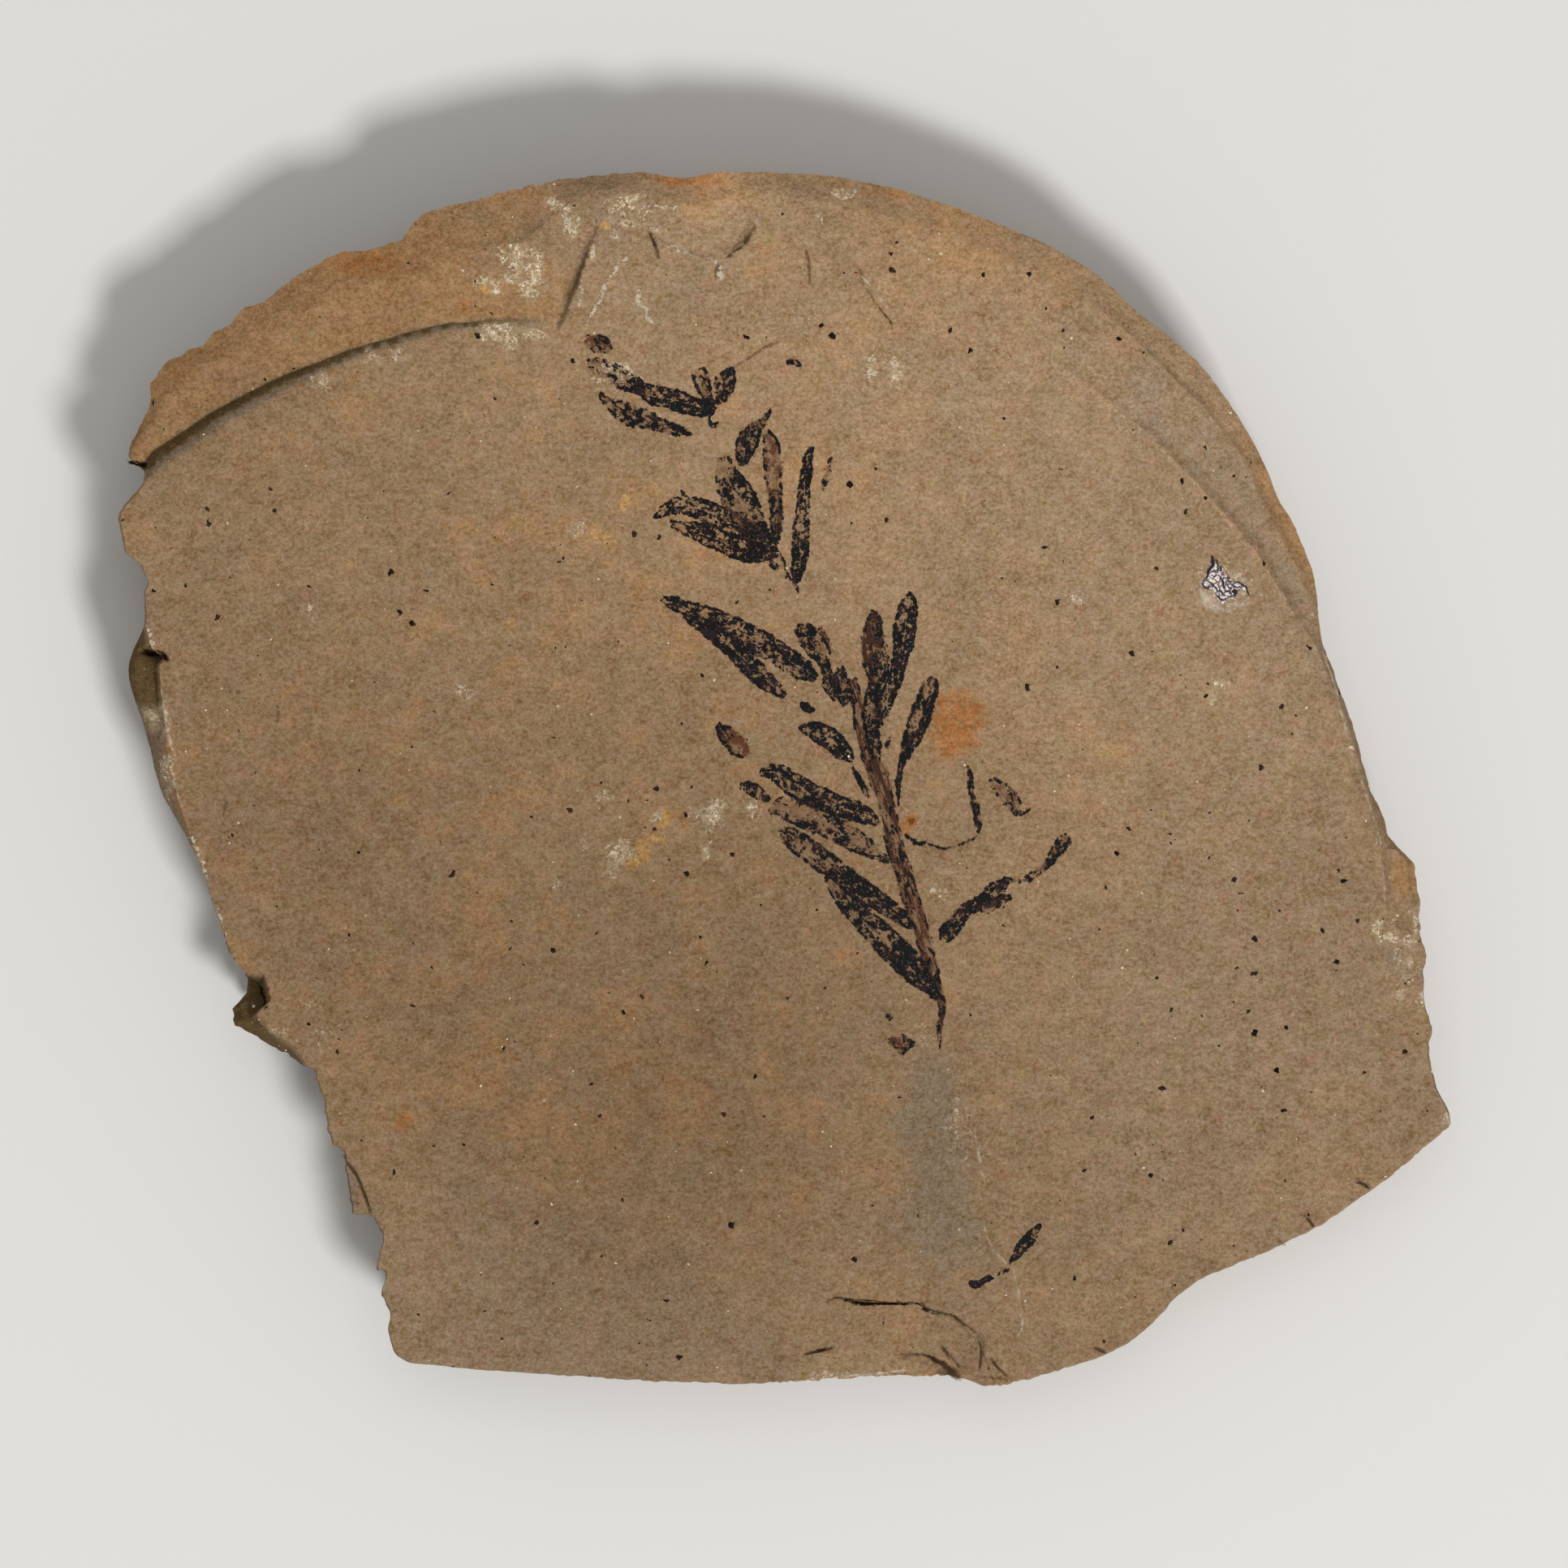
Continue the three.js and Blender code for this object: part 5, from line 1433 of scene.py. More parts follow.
def ribbon(strip, order, lift):
    """Points and faces of a closed strip along a line, and its numbers for the finish."""
    cover, edges, brown, points = strip
    line = spline(points, RIBBON_STEP)
    way = np.gradient(line[:, :2], axis=0)
    way /= np.hypot(*way.T)[:, None]
    left = np.stack([-way[:, 1], way[:, 0]], -1)
    run = np.concatenate([[0], np.cumsum(np.hypot(*np.diff(line[:, :2], axis=0).T))])
    half = line[:, 2] * RIBBON_SPREAD + RIBBON_MARGIN
    offset = half[:, None] * np.linspace(-1, 1, RIBBON_COLUMNS)
    across = np.clip(offset / line[:, 2, None], -3, 3)
    along = np.repeat(run[:, None], RIBBON_COLUMNS, 1)
    flat_place = line[:, None, :2] + left[:, None] * offset[..., None]
    ground = top_height(flat_place[..., 0], flat_place[..., 1])
    upper = np.dstack([flat_place, ground + lift + FILM_LAYER * (order % FILM_LAYERS)])
    lower = np.dstack([flat_place, ground - FILM_ROOT])[:, ::-1]
    numbers = {
        "run": along, "offset": offset, "across": across,
        "room": line[:, 2, None] - np.abs(offset),
        "tip": np.minimum(along, run[-1] - along),
        "cover": np.interp(along / run[-1], (0, 0.5, 1), cover),
        "edge": np.where(across > 0, *edges), "brown": np.full(across.shape, brown)}
    both_sides = {key: np.hstack([grid, grid[:, ::-1]]).ravel() for key, grid in numbers.items()}
    faces = band_faces(len(line), 2 * RIBBON_COLUMNS)
    return np.hstack([upper, lower]).reshape(-1, 3), faces, both_sides


print("faces of the first needle:", len(ribbon(needles["top"][0], 0, FILM_LIFT)[1]))

# %% Many ribbons as one piece
STRIP_SEED = 17.3            # steps in the noise, so that no two strips have one pattern
LETTER_SEED = 3.1            # for each letter of the piece's name


def plain(lines, cover=(1, 1, 1)):
    """Strips with no edges and no brown, from lines of x, y and half width."""
    return [(cover, (0, 0), 0, line) for line in lines]


def lay_down(name, strips, finish, lift=FILM_LIFT):
    """One piece of many ribbons. A strip is the film left at its start, middle and end, how
    dark its two edges are, how brown it is, and its line."""
    every_point, every_face, numbers, start = [], [], {}, 0
    for order, strip in enumerate(strips):
        points, faces, found = ribbon(strip, order, lift)
        found["seed"] = np.full(len(points), STRIP_SEED * (order + 1) + LETTER_SEED * len(name))
        every_point.append(points)
        every_face.append(faces + start)
        for key, values in found.items():
            numbers.setdefault(key, []).append(values)
        start += len(points)
    mesh = in_metres(name, np.vstack(every_point), np.vstack(every_face).tolist())
    mesh.shade_smooth()
    keep_on(mesh, {key: np.concatenate(values) for key, values in numbers.items()})
    mesh.materials.append(finish)
    ride_along(new_object(name, mesh))
    print(name, "strips:", len(strips), "faces:", len(mesh.polygons))


print("a plain strip:", plain(["line"])[0])

# %% The carbon film's finish
CARBON = shade(18, 15, 15)
CARBON_GREEN = shade(15, 21, 22)
CARBON_PURPLE = shade(38, 26, 28)
CARBON_GLINT = shade(112, 100, 100)
FRINGE = shade(78, 54, 44)
STAIN = shade(134, 98, 72)
STAIN_RED = shade(98, 58, 36)
STAIN_DARK = shade(58, 38, 30)


def film_finish(name, crumbs, streaks):
    """A lace of carbon over a brown stain. Crumbs and streaks are how fast each pattern
    changes along the strip and across it."""
    film, place = new_finish(name)
    number = {key: place.attribute(key) for key in
              ("run", "offset", "seed", "across", "tip", "room", "cover", "edge", "brown")}
    track = place.node("ShaderNodeCombineXYZ", {}, {
        "X": number["run"], "Y": number["offset"], "Z": number["seed"]})
    crumbled, slowed = (track.vector("MULTIPLY", rates) for rates in (crumbs, (0.7, 1.0, 1.0)))
    islands = crumbled.noise(2.3, 1.5, 0.5, 0.4)
    worms = crumbled.noise(1.9, 1, 0.5, 0.5)
    fine = place.noise(5.5, 2, 0.6)
    patch = slowed.noise(0.7, 2, 0.6)
    tint = slowed.noise(1.1, 2, 0.6)
    streak = track.vector("MULTIPLY", streaks).noise(1.3, 3, 0.7)
    rib = track.vector("MULTIPLY", (0.3, 0.0, 1.0)).noise(1.2, 1, 0.5)

    room = number["room"]            # millimetres from the strip's edge, negative outside
    edge_strip = (room + 0.8 * (patch - 0.5)).rise(0.30, 0.08)
    midrib = abs(number["across"] + 0.8 * (rib - 0.5)).rise(0.08, 0.02)
    density = (number["cover"] + 2.3 * (patch - 0.5) - 0.35 * midrib
               + 0.45 * number["edge"] * edge_strip)
    ridges = 0.60 - 2.6 * abs(worms - 0.5)
    field = islands.larger(ridges) + 0.25 * (fine - 0.5) - (0.66 - 0.28 * density)
    inside = (room + 0.6 * (islands - 0.5) + 0.3 * (fine - 0.5)).rise(-0.03, 0.03)
    carbon = field.rise(-0.018, 0.02) * inside
    fringe = field.rise(-0.09, 0.0) * inside
    not_tip = (number["tip"] * 2.2 + 2.0 * (islands - 0.5)).rise(0.0, 0.25)
    mottled = (streak + 0.3 * (fine - 0.5)).rise(0.40, 0.60)
    stained = (0.2 + number["brown"] * (0.3 + 0.6 * mottled)) * (0.5 + 0.5 * mottled)
    stained = stained * (room + 0.5 * (patch - 0.5)).rise(-0.02, 0.18)

    black = tint.rise(0.52, 0.62).share(CARBON, CARBON_GREEN)
    black = tint.rise(0.46, 0.38).share(black, CARBON_PURPLE)
    black = (place.noise(5.0, 1, 0.5).rise(0.64, 0.71) * 0.6).share(black, CARBON_GLINT)
    brown = (number["brown"] * mottled).rise(0.1, 0.8).share(STAIN, STAIN_RED)
    brown = (number["brown"].rise(1.0, 1.6) * mottled.rise(0.2, 0.7)).share(brown, STAIN_DARK)
    brown = fringe.share(brown, FRINGE)
    wire_up(film, {
        "Base Color": carbon.share(brown, black),
        "Roughness": 0.75 - 0.15 * carbon + 0.2 * (fine - 0.5),
        "Alpha": (carbon * 0.98).larger(fringe * 0.5).larger(stained) * not_tip,
        "Normal": bump(0.02 * carbon + 0.02 * fine),
        "Specular IOR Level": 0.1})
    return film


leaf_film = film_finish("leaf film", (0.85, 1.0, 1.0), (0.8, 1.0, 1.0))
stem_film = film_finish("stem film", (0.5, 1.3, 1.0), (0.35, 1.9, 1.0))

# %% The film's pieces, one for each part of the twig
lay_down("film_stems", needles["stems"], stem_film)
for name, group in (("film_top_spray", "top"), ("film_middle_spray", "middle"),
                    ("film_main_spray", "main"), ("film_lower_leaves", "lower"),
                    ("film_bits", "bits")):
    lay_down(name, needles[group], leaf_film)

# %% [markdown]
# ## Scuffs, hairlines and painted shadow
# Along the fresh hackles the stone is bruised to pale powder, in thin broken lines; pale lines
# along a ridge and an edge are partly painted highlight. Painted shadow lies in the cracks and
# under the small scarps, near black where the crack is wide. All are ribbons too, with finishes
# that are flaked in the same way.

# %% Chalky scuffs
scuff_lines = [
    [(-12.1, 49.8), (-11.5, 49.3), (-10.5, 49.3)],
    [(-11, 48.2), (-10.2, 47.8), (-9.3, 47.5), (-8.3, 47.2)],
    [(-7.3, 46.8), (-6.6, 46.6), (-6, 46.5)],
    [(-5.7, 46.3), (-5.7, 45.5), (-5.5, 44.7)],
    [(-12.3, 51.6), (-11.2, 51.4), (-9.5, 51.3)],
    [(-14, 46.8), (-14.9, 46.3), (-15.3, 45.5), (-15.9, 44.8), (-16.2, 43.9), (-16.6, 42.8),
     (-17.4, 41.7), (-17.8, 40.7)],
    [(-13, 44.4), (-13.2, 43.6), (-13, 42.8), (-12.5, 42.3), (-12.3, 41.4), (-11.7, 40.9)],
    [(-18.1, 45), (-18.2, 43.7), (-18.4, 42.4)],
    [(6.5, 53.1), (6.3, 52.6), (5.5, 52.4), (5, 52)],
    [(2.6, 50.7), (3.1, 50.6), (3.6, 49.9)],
    [(-17, 48.2), (-17.2, 47.5), (-17.4, 46.6)],
    [(8.2, 37.9), (7.7, 36.8), (7.6, 36)],
    [(9.5, 37.7), (10.2, 36.8), (10.7, 35.8)],
    [(13.1, -9.8), (13.8, -10), (14.6, -9.9)],
    [(-42.7, 15.9), (-42.3, 14)],
    [(-20.1, 50.9), (-19.4, 50.1), (-18.3, 50.4)],
    [(-57.2, 13.6), (-56.9, 12.4), (-56.7, 11.7)],
    [(-53.3, -5.1), (-52.5, -6.8), (-51.9, -9)],
    [(-51, -11.6), (-50, -14)],
]
SCUFF_HALF = 0.16


def tapered(line, half):
    """A line that is thinner at its ends, as x, y and half width."""
    widths = half * np.sin(np.pi * np.linspace(0.15, 0.85, len(line)))
    return [(x, y, width) for (x, y), width in zip(line, widths)]


scuff, place = new_finish("chalky scuff")
flake = place.noise(1.8, 4, 0.8)
shown = (flake + 0.5 * place.attribute("room")).rise(0.49, 0.57)
wire_up(scuff, {
    "Base Color": flake.rise(0.45, 0.6).share(CHALK, CHALK_BRIGHT),
    "Alpha": shown * (place.attribute("tip") * 2.0 + flake).rise(0.3, 0.8) * 0.85,
    "Normal": bump(0.04 * flake), "Roughness": 0.9, "Specular IOR Level": 0.1})
lay_down("scuffs", plain([tapered(line, SCUFF_HALF) for line in scuff_lines],
                         (0.6, 0.8, 0.6)), scuff)

# %% Pale lines and painted highlights, as x, y and half width in millimetres
crease_and_highlight_lines = [
    [(-56, 8.2, .05), (-55.8, 6.8, .1), (-55.6, 5.5, .13), (-55.3, 4.4, .12), (-55, 2.9, .14),
     (-54.6, 2.1, .15)],
    [(-55.3, 2.4, .06), (-55.2, 1.2, .1), (-55, -.1, .13), (-54.6, -1.2, .12), (-54.1, -2.5, .08)],
    [(6.9, 45.3, .1), (7.6, 44.5, .16), (8.5, 43.4, .18), (9.2, 42.4, .16), (9.8, 41.5, .12)],
    [(48.4, 11.6, .06), (49.4, 8.6, .12), (50.1, 5.8, .12), (50.7, 3.6, .08)],
    [(50.8, 3, .04), (51.7, .3, .07), (52.8, -3, .06), (53.6, -5.8, .09), (53.9, -9.2, .1),
     (54, -11.8, .08)],
    [(3.2, -53.8, .05), (6.1, -53.6, .12), (8.7, -53.4, .14), (11.4, -53.1, .08)],
    [(17.1, -31.3, .05), (17.3, -32.8, .12), (17.6, -34.1, .15), (17.9, -34.9, .08)],
    [(17.6, -35, .04), (17.9, -35.7, .08), (18.1, -36.3, .05)],
    [(17.9, -39.3, .05), (18.1, -40.4, .1), (18.4, -41.5, .14), (19.1, -42.6, .12), (20, -43.5, .08)],
    [(20.5, -43.7, .04), (20.8, -45, .08), (21.1, -46.3, .1), (21.3, -47.7, .11), (21.4, -49.2, .1),
     (21, -50.1, .05)],
]

# Pale powder, and a painted highlight along the lower right ridge and the right face edge.
crease_and_highlight, place = new_finish("pale crease")
flake = place.noise(1.6, 3, 0.6)
wire_up(crease_and_highlight, {
    "Base Color": flake.rise(0.4, 0.6).share(CHALK, CHALK_BRIGHT),
    "Alpha": (flake + 2.2 * place.attribute("room")).rise(0.3, 1.0) * 0.72,
    "Normal": bump(0.05 * flake), "Roughness": 0.9, "Specular IOR Level": 0.1})
lay_down("creases", plain(crease_and_highlight_lines), crease_and_highlight)

# %% Brown hairlines
hair_lines = [
    [(-4.5, 37), (-3, 37.9), (-1.7, 38.8), (-.4, 39.3)],
    [(6.8, 45.8), (7.1, 45.2), (7.6, 44.4)],
    [(2, 47.5), (2.2, 46.6), (2.3, 45.5), (2.3, 44.4)],
    [(-50, -2), (-50.3, -2.9), (-50.4, -3.5)],
    [(-45.5, 6.6), (-45.4, 5.8), (-45.5, 5.1)],
]
HAIR_HALF = 0.08
HAIR_BROWN = shade(96, 66, 38)

hair, place = new_finish("brown hairline")
flake = place.noise(3.0, 2, 0.6)
wire_up(hair, {
    "Base Color": flake.share(HAIR_BROWN, STAIN),
    "Alpha": (flake + 1.5 * place.attribute("room")).rise(0.3, 0.7) * 0.7,
    "Roughness": 0.9, "Specular IOR Level": 0.1})
lay_down("hairlines", plain([tapered(line, HAIR_HALF) for line in hair_lines],
                            (0.5, 0.5, 0.5)), hair)

# %% Painted shadow in the cracks and under the scarps
# Each line has the share of painted shadow at its start, middle and end, and x, y and half width.
crack_shadow_lines = [
    ((.8, 1, .3), [(3.6, -47, .03), (4.2, -46.8, .05), (4.8, -46.6, .09), (5.5, -46.7, .09),
     (6.6, -46.8, .09), (7.7, -46.9, .11), (8.9, -47.1, .14), (10.1, -47.1, .16), (11.1, -47.1, .13),
     (11.8, -47.1, .12), (12.5, -47.3, .22), (12.8, -47.7, .19), (13.5, -47.9, .17), (14.3, -48, .16),
     (15.2, -48.2, .19), (15.7, -48.7, .12), (16.4, -49.1, .1), (17, -49.5, .07), (17.4, -50, .04)]),
    ((.8, 1, .9), [(5, -46.7, .04), (5.7, -46.9, .09), (6.4, -47.1, .1), (7.1, -47.2, .12),
     (8.2, -47.2, .12), (9, -47.1, .09)]),
    ((.7, .9, .6), [(2.2, -51.5, .04), (2.7, -51.4, .07), (3.4, -51.3, .1), (3.9, -51.1, .07),
     (4.8, -51, .04)]),
    ((.7, .6, .4), [(3.4, -51.4, .06), (3.9, -51.7, .04)]),
    ((.3, .8, .5), [(9.9, -51.9, .06), (11.2, -51.7, .12), (12.8, -51.9, .15), (13.8, -52.4, .22),
     (14.4, -52.7, .28), (15.4, -53.7, .28), (16.1, -54.1, .15)]),
    ((.3, .6, .3), [(13.9, -50.7, .05), (14.3, -51.3, .09), (14.7, -51.8, .1), (15.2, -52.3, .08)]),
    ((.3, .5, .3), [(15.4, -52.5, .07), (16, -52.8, .09), (16, -53, .05)]),
    ((.3, .5, .3), [(18.4, -51.8, .05), (18.7, -52.3, .1), (19.2, -52.8, .11), (19.5, -53.2, .05)]),
    ((.3, .4, .3), [(19.5, -53.3, .05), (20, -53.8, .07)]),
    ((1, 1, 1), [(-57.7, 11.9, .09), (-57.4, 11.6, .22), (-57, 11.3, .26), (-56.5, 11.3, .22),
     (-56.1, 11.2, .23), (-55.6, 10.9, .25), (-55.2, 10.6, .09)]),
    ((1, 1, 1), [(-59.2, 28.7, .06), (-58.7, 28.5, .13), (-58, 28.3, .19), (-57.5, 28.3, .16),
     (-57.1, 28.4, .07)]),
    ((.4, .6, .2), [(-16.7, 49.9, .05), (-17, 49, .07), (-17.3, 48.2, .12), (-17.8, 46.8, .18),
     (-18.3, 45.5, .24), (-18.8, 44.2, .27), (-19.2, 43.2, .25), (-19.5, 42.3, .25), (-20, 41.1, .22),
     (-20.3, 40.1, .12)]),
    ((.5, .7, .4), [(-12.3, 49.4, .08), (-12, 48.9, .18), (-11.7, 48.2, .2), (-11.4, 47.6, .16),
     (-11.3, 46.9, .12), (-11.2, 46.4, .06)]),
    ((.3, .7, .6), [(-2.6, 50.1, .12), (-2.8, 49.3, .18), (-3.3, 48.5, .2), (-3.8, 47.8, .16),
     (-4.4, 47.4, .13), (-4.9, 47, .1), (-5.5, 46.6, .06)]),
    ((.3, .5, .3), [(-5.8, 46.5, .05), (-6, 45.8, .11), (-5.9, 45, .07)]),
    ((.1, .8, .9), [(6.6, 45, .05), (7.2, 44.3, .06), (8, 43.1, .05), (8.7, 42.1, .06),
     (9.5, 41.2, .06), (9.7, 40.8, .06), (9.8, 40.1, .04)]),
    ((.4, .5, .6), [(51.2, -36, .05), (51.7, -36.1, .08), (52.2, -36.5, .1), (52.8, -36.9, .08)]),
    ((.4, .5, .6), [(46.5, -38.9, .04), (47, -39.5, .07), (47.7, -40.4, .08)]),
    ((.3, .4, .6), [(44, -41.2, .04), (44.6, -41.6, .07), (45.2, -42, .08)]),
    ((.4, .5, .6), [(27.8, -50.9, .06), (28.5, -51.3, .08), (29.1, -51.7, .07)]),
    ((.5, .5, .4), [(14.1, -50.6, .05), (14.7, -51.6, .07), (15.4, -52.3, .06)]),
    ((.3, .3, .3), [(17.2, -49.7, .04), (17.9, -50.6, .06), (17.8, -52.1, .06), (17.5, -53.2, .05)]),
    ((.3, .4, .3), [(17, -53.7, .05), (18.1, -53.8, .06), (19.4, -53.8, .07), (20.3, -54.1, .05)]),
    ((.2, .35, .25), [(-39.9, -33.5, .05), (-38.6, -35.1, .07), (-37.7, -37.2, .08), (-37, -39.3, .05)]),
    ((1, 1, 1), [(-47.2, -18.4, .11), (-46.9, -19.1, .22), (-46.6, -20, .26), (-46.8, -20.8, .15)]),
]
print("lines of soil:", len(crack_shadow_lines))

# %% The painted crack shadow's finish
CRACK_SHADOW = shade(30, 20, 12)
CRACK_SHADOW_THIN = shade(86, 68, 44)

# Dark ribbons that paint the shadow in the cracks, under the small scarps and in the notches of the left
# break.
crack_shadow, place = new_finish("painted crack shadow")
cover = place.attribute("cover")
room = place.attribute("room")
bits = place.noise(2.4, 4, 0.75)
packed = (room - 0.03 + 0.16 * (cover - 0.6) + 0.7 * (bits - 0.5)).rise(-0.05, 0.12)
faint_shadow = (room + 0.10 + 0.9 * (bits - 0.5)).rise(-0.02, 0.2)
shown = (packed * (0.3 + 0.65 * cover)).larger(faint_shadow * 0.35)
wire_up(crack_shadow, {
    "Base Color": (packed * cover.rise(0.35, 0.95)).share(CRACK_SHADOW_THIN, CRACK_SHADOW),
    "Alpha": shown * place.attribute("tip").rise(0.0, 0.5),
    "Roughness": 0.9 + 0.1 * bits, "Specular IOR Level": 0.05})
lay_down("packed_soil", [strip for share, line in crack_shadow_lines for strip in plain([line], share)],
         crack_shadow)

# %% [markdown]
# ## Grains
# The stone is peppered with dark flecks of plant dust and with a few bright grains of quartz.
# They repeat by the hundred, so Geometry Nodes scatter them: points on the face, a small
# squashed ball on each, with its own turn and size. The larger flecks have set places, so
# their points are given, and the same tree dresses them.

# %% The tree that makes grains
JITTER_PER_METRE = 3200.0    # how fast the corners' shifts change over the stone
TILT = 0.25                  # radians
INPUTS = {"Density": "Float", "Smallest": "Float", "Largest": "Float", "Narrowest": "Float",
          "Flatness": "Float", "Raggedness": "Float", "Seed": "Int"}


def grain_tree(name, finish, scattered):
    """A tree that sets a squashed ball on scattered points, or on each point given."""
    tree = bpy.data.node_groups.new(name, "GeometryNodeTree")
    tree.interface.new_socket("Geometry", in_out="INPUT", socket_type="NodeSocketGeometry")
    for label, kind in INPUTS.items():
        tree.interface.new_socket(label, in_out="INPUT", socket_type="NodeSocket" + kind)
    tree.interface.new_socket("Geometry", in_out="OUTPUT", socket_type="NodeSocketGeometry")
    start = Wire(tree)
    value = {socket.name: Wire(tree, socket)
             for socket in tree.nodes.new("NodeGroupInput").outputs if socket.name}
    seed = value["Seed"]

    if scattered:
        points = start.node("GeometryNodeDistributePointsOnFaces", {"distribute_method": "RANDOM"},
                            {"Mesh": value["Geometry"], "Density": value["Density"], "Seed": seed})
    else:
        points = start.node("GeometryNodeMeshToPoints", {}, {"Mesh": value["Geometry"]})
    random, one = "FunctionNodeRandomValue", {"data_type": "FLOAT"}
    size = start.node(random, one, {2: 0.0, 3: 1.0, 8: seed + 11}, 1)
    size = value["Smallest"] + (value["Largest"] - value["Smallest"]) * size * size
    narrow = start.node(random, one, {2: value["Narrowest"], 3: 1.0, 8: seed + 12}, 1)
    shape = start.node("ShaderNodeCombineXYZ", {}, {
        "X": size, "Y": size * narrow, "Z": size * value["Flatness"]})
    turn = start.node(random, {"data_type": "FLOAT_VECTOR"}, {
        0: (-TILT, -TILT, 0.0), 1: (TILT, TILT, 6.28), 8: seed + 13})
    ball = start.node("GeometryNodeMeshIcoSphere", {}, {"Radius": 0.5, "Subdivisions": 2})
    grains = start.node("GeometryNodeInstanceOnPoints", {}, {
        "Points": points, "Instance": ball, "Rotation": turn, "Scale": shape})
    solid = start.node("GeometryNodeRealizeInstances", {}, {"Geometry": grains})

    jitter = start.node("GeometryNodeInputPosition").noise(JITTER_PER_METRE, out=1)
    jitter = jitter.vector("SUBTRACT", (0.5, 0.5, 0.5))
    jitter = jitter.times(value["Largest"] * value["Raggedness"])
    solid = start.node("GeometryNodeSetPosition", {}, {
        "Geometry": solid, "Offset": jitter.vector("MULTIPLY", (1.0, 1.0, 0.1))})
    dressed = start.node("GeometryNodeSetMaterial", {}, {"Geometry": solid, "Material": finish})
    tree.links.new(dressed.socket, tree.nodes.new("NodeGroupOutput").inputs["Geometry"])
    return tree


print("inputs of the tree:", list(INPUTS))

# %% Running the tree on the stone
def scatter(name, ground, tree, **values):
    """Runs a grain tree on a copy of some ground and keeps the result as one plain piece."""
    carrier = new_object(name + "_ground", ground)
    modifier = carrier.modifiers.new(tree.name, "NODES")
    modifier.node_group = tree
    for item in tree.interface.items_tree:
        if item.in_out == "INPUT" and item.name in values:
            modifier[item.identifier] = values[item.name]
    bpy.context.view_layer.update()
    graph = bpy.context.evaluated_depsgraph_get()
    mesh = bpy.data.meshes.new_from_object(carrier.evaluated_get(graph), depsgraph=graph)
    bpy.data.objects.remove(carrier)
    mesh.name = name
    mesh.shade_smooth()
    ride_along(new_object(name, mesh))
    print(name, "triangles:", len(mesh.polygons))


upper_mesh = in_metres("upper_ground", top_points, top_faces.tolist())
print("ground for the grains:", len(upper_mesh.polygons), "triangles")

# %% Places of the larger flecks: x and y in millimetres
fleck_places = [
    (-32.1, 16.9), (-27.5, 39.9), (-51.8, 24.2), (-51.7, 22.9), (-46.1, 26), (-45.8, 24.1),
    (-53.8, 17.3), (-56.6, 16.9), (-50.9, 14.6), (-42.7, 17.3), (-34.5, 14.9), (-33.4, 14),
    (-35.3, 18.6), (-20.3, 19.5), (-30, 25.7), (-49.5, -5), (-33.4, -20.4), (-35.1, -35.3),
    (-28.8, -32.9), (-23.3, -33.9), (-16.6, -30.3), (-17.4, -27.4), (-12.8, -19.5), (-25.2, -24.2),
    (-22.2, -39.9), (-5.4, -30.1), (-4.7, -40.1), (-2.6, -26.8), (10.3, -28.6), (6.3, -43.1),
    (26.1, -44.8), (26.9, -35.1), (-6.9, -16.5), (10.1, 48.2), (3.4, 40.8), (4.3, 39.9), (-3.4, 39.7),
    (16.7, 38.4), (24.6, 15.9), (33.4, 18.9), (30, 39.6), (35.8, 26.7), (36.1, 24), (31.2, 11.3),
    (47.1, 11.9), (37.9, 7.4), (44.7, 6.5), (42.8, 1), (40.5, -9.1), (41, -10.3), (49.8, -8.2),
    (50.3, -9.1), (51.6, -12.7), (48.3, -13.7), (31, -4.4), (40.7, -17), (33.5, -17.9), (34.8, -20.7),
    (34, -27.8), (32.9, -35.6), (44.2, -26.1), (55.8, -24.5), (41.7, -20.9), (-4.2, 15.9),
    (-19, 37.6), (5.9, 26.4), (-13.4, 22), (-11.2, 21.8), (9.2, 23.3), (29.9, -6.7), (28.9, -9.6),
    (42.3, -14.4), (42.2, -17.5), (39.1, -23.9), (49.6, -17.1), (42.3, -22.8), (27.6, -30.4),
    (44.9, -29.8), (45.1, -22.4), (.3, -19.7), (34.7, -41.7), (-9.2, 4.9), (-8.3, -.8), (-11.5, -.8),
    (-19.2, -2.8), (-8.8, -3.2), (-11.6, -4.5), (-4.7, -6.8), (-8.8, -8.5), (-20.7, -15.3),
    (-24.7, -15.3), (-10.6, -46.8), (-9.4, -51.9), (-40.1, -24.5), (17.9, 45.2), (22, 45.4),
    (15, 40.3), (21.9, 8.2), (23.4, 20.8), (24.8, 27.9), (43.1, 19.3), (37.8, 29.7), (1.5, 46),
    (9.6, 47.2), (9.8, 45.7), (49.6, -16.4), (52.1, -26.3), (-9.1, 25.7), (-29.8, -8.5), (-14.4, -21),
]
found = np.array(fleck_places)
found_mesh = in_metres("found_ground", np.column_stack([found, top_height(*found.T)]), [])
print("larger flecks:", len(fleck_places))

# %% Dark flecks and pale glints
FLECK = shade(26, 18, 14)
FLECK_BROWN = shade(58, 38, 26)
QUARTZ = shade(222, 208, 182)
FLECKS_PER_M2 = 52000
QUARTZ_PER_M2 = 44000

dark_grain, place = new_finish("plant dust")
wire_up(dark_grain, {
    "Base Color": place.noise(0.8, 2).rise(0.4, 0.6).share(FLECK, FLECK_BROWN),
    "Roughness": 0.6 + 0.3 * place.noise(6.0, 2), "Specular IOR Level": 0.08})
bright_grain, place = new_finish("quartz grain")
wire_up(bright_grain, {
    "Base Color": place.noise(0.5, 2).rise(0.42, 0.58).share(QUARTZ, PALE_GRAIN),
    "Roughness": 0.35 + 0.3 * place.noise(6.0, 2), "Specular IOR Level": 0.3})

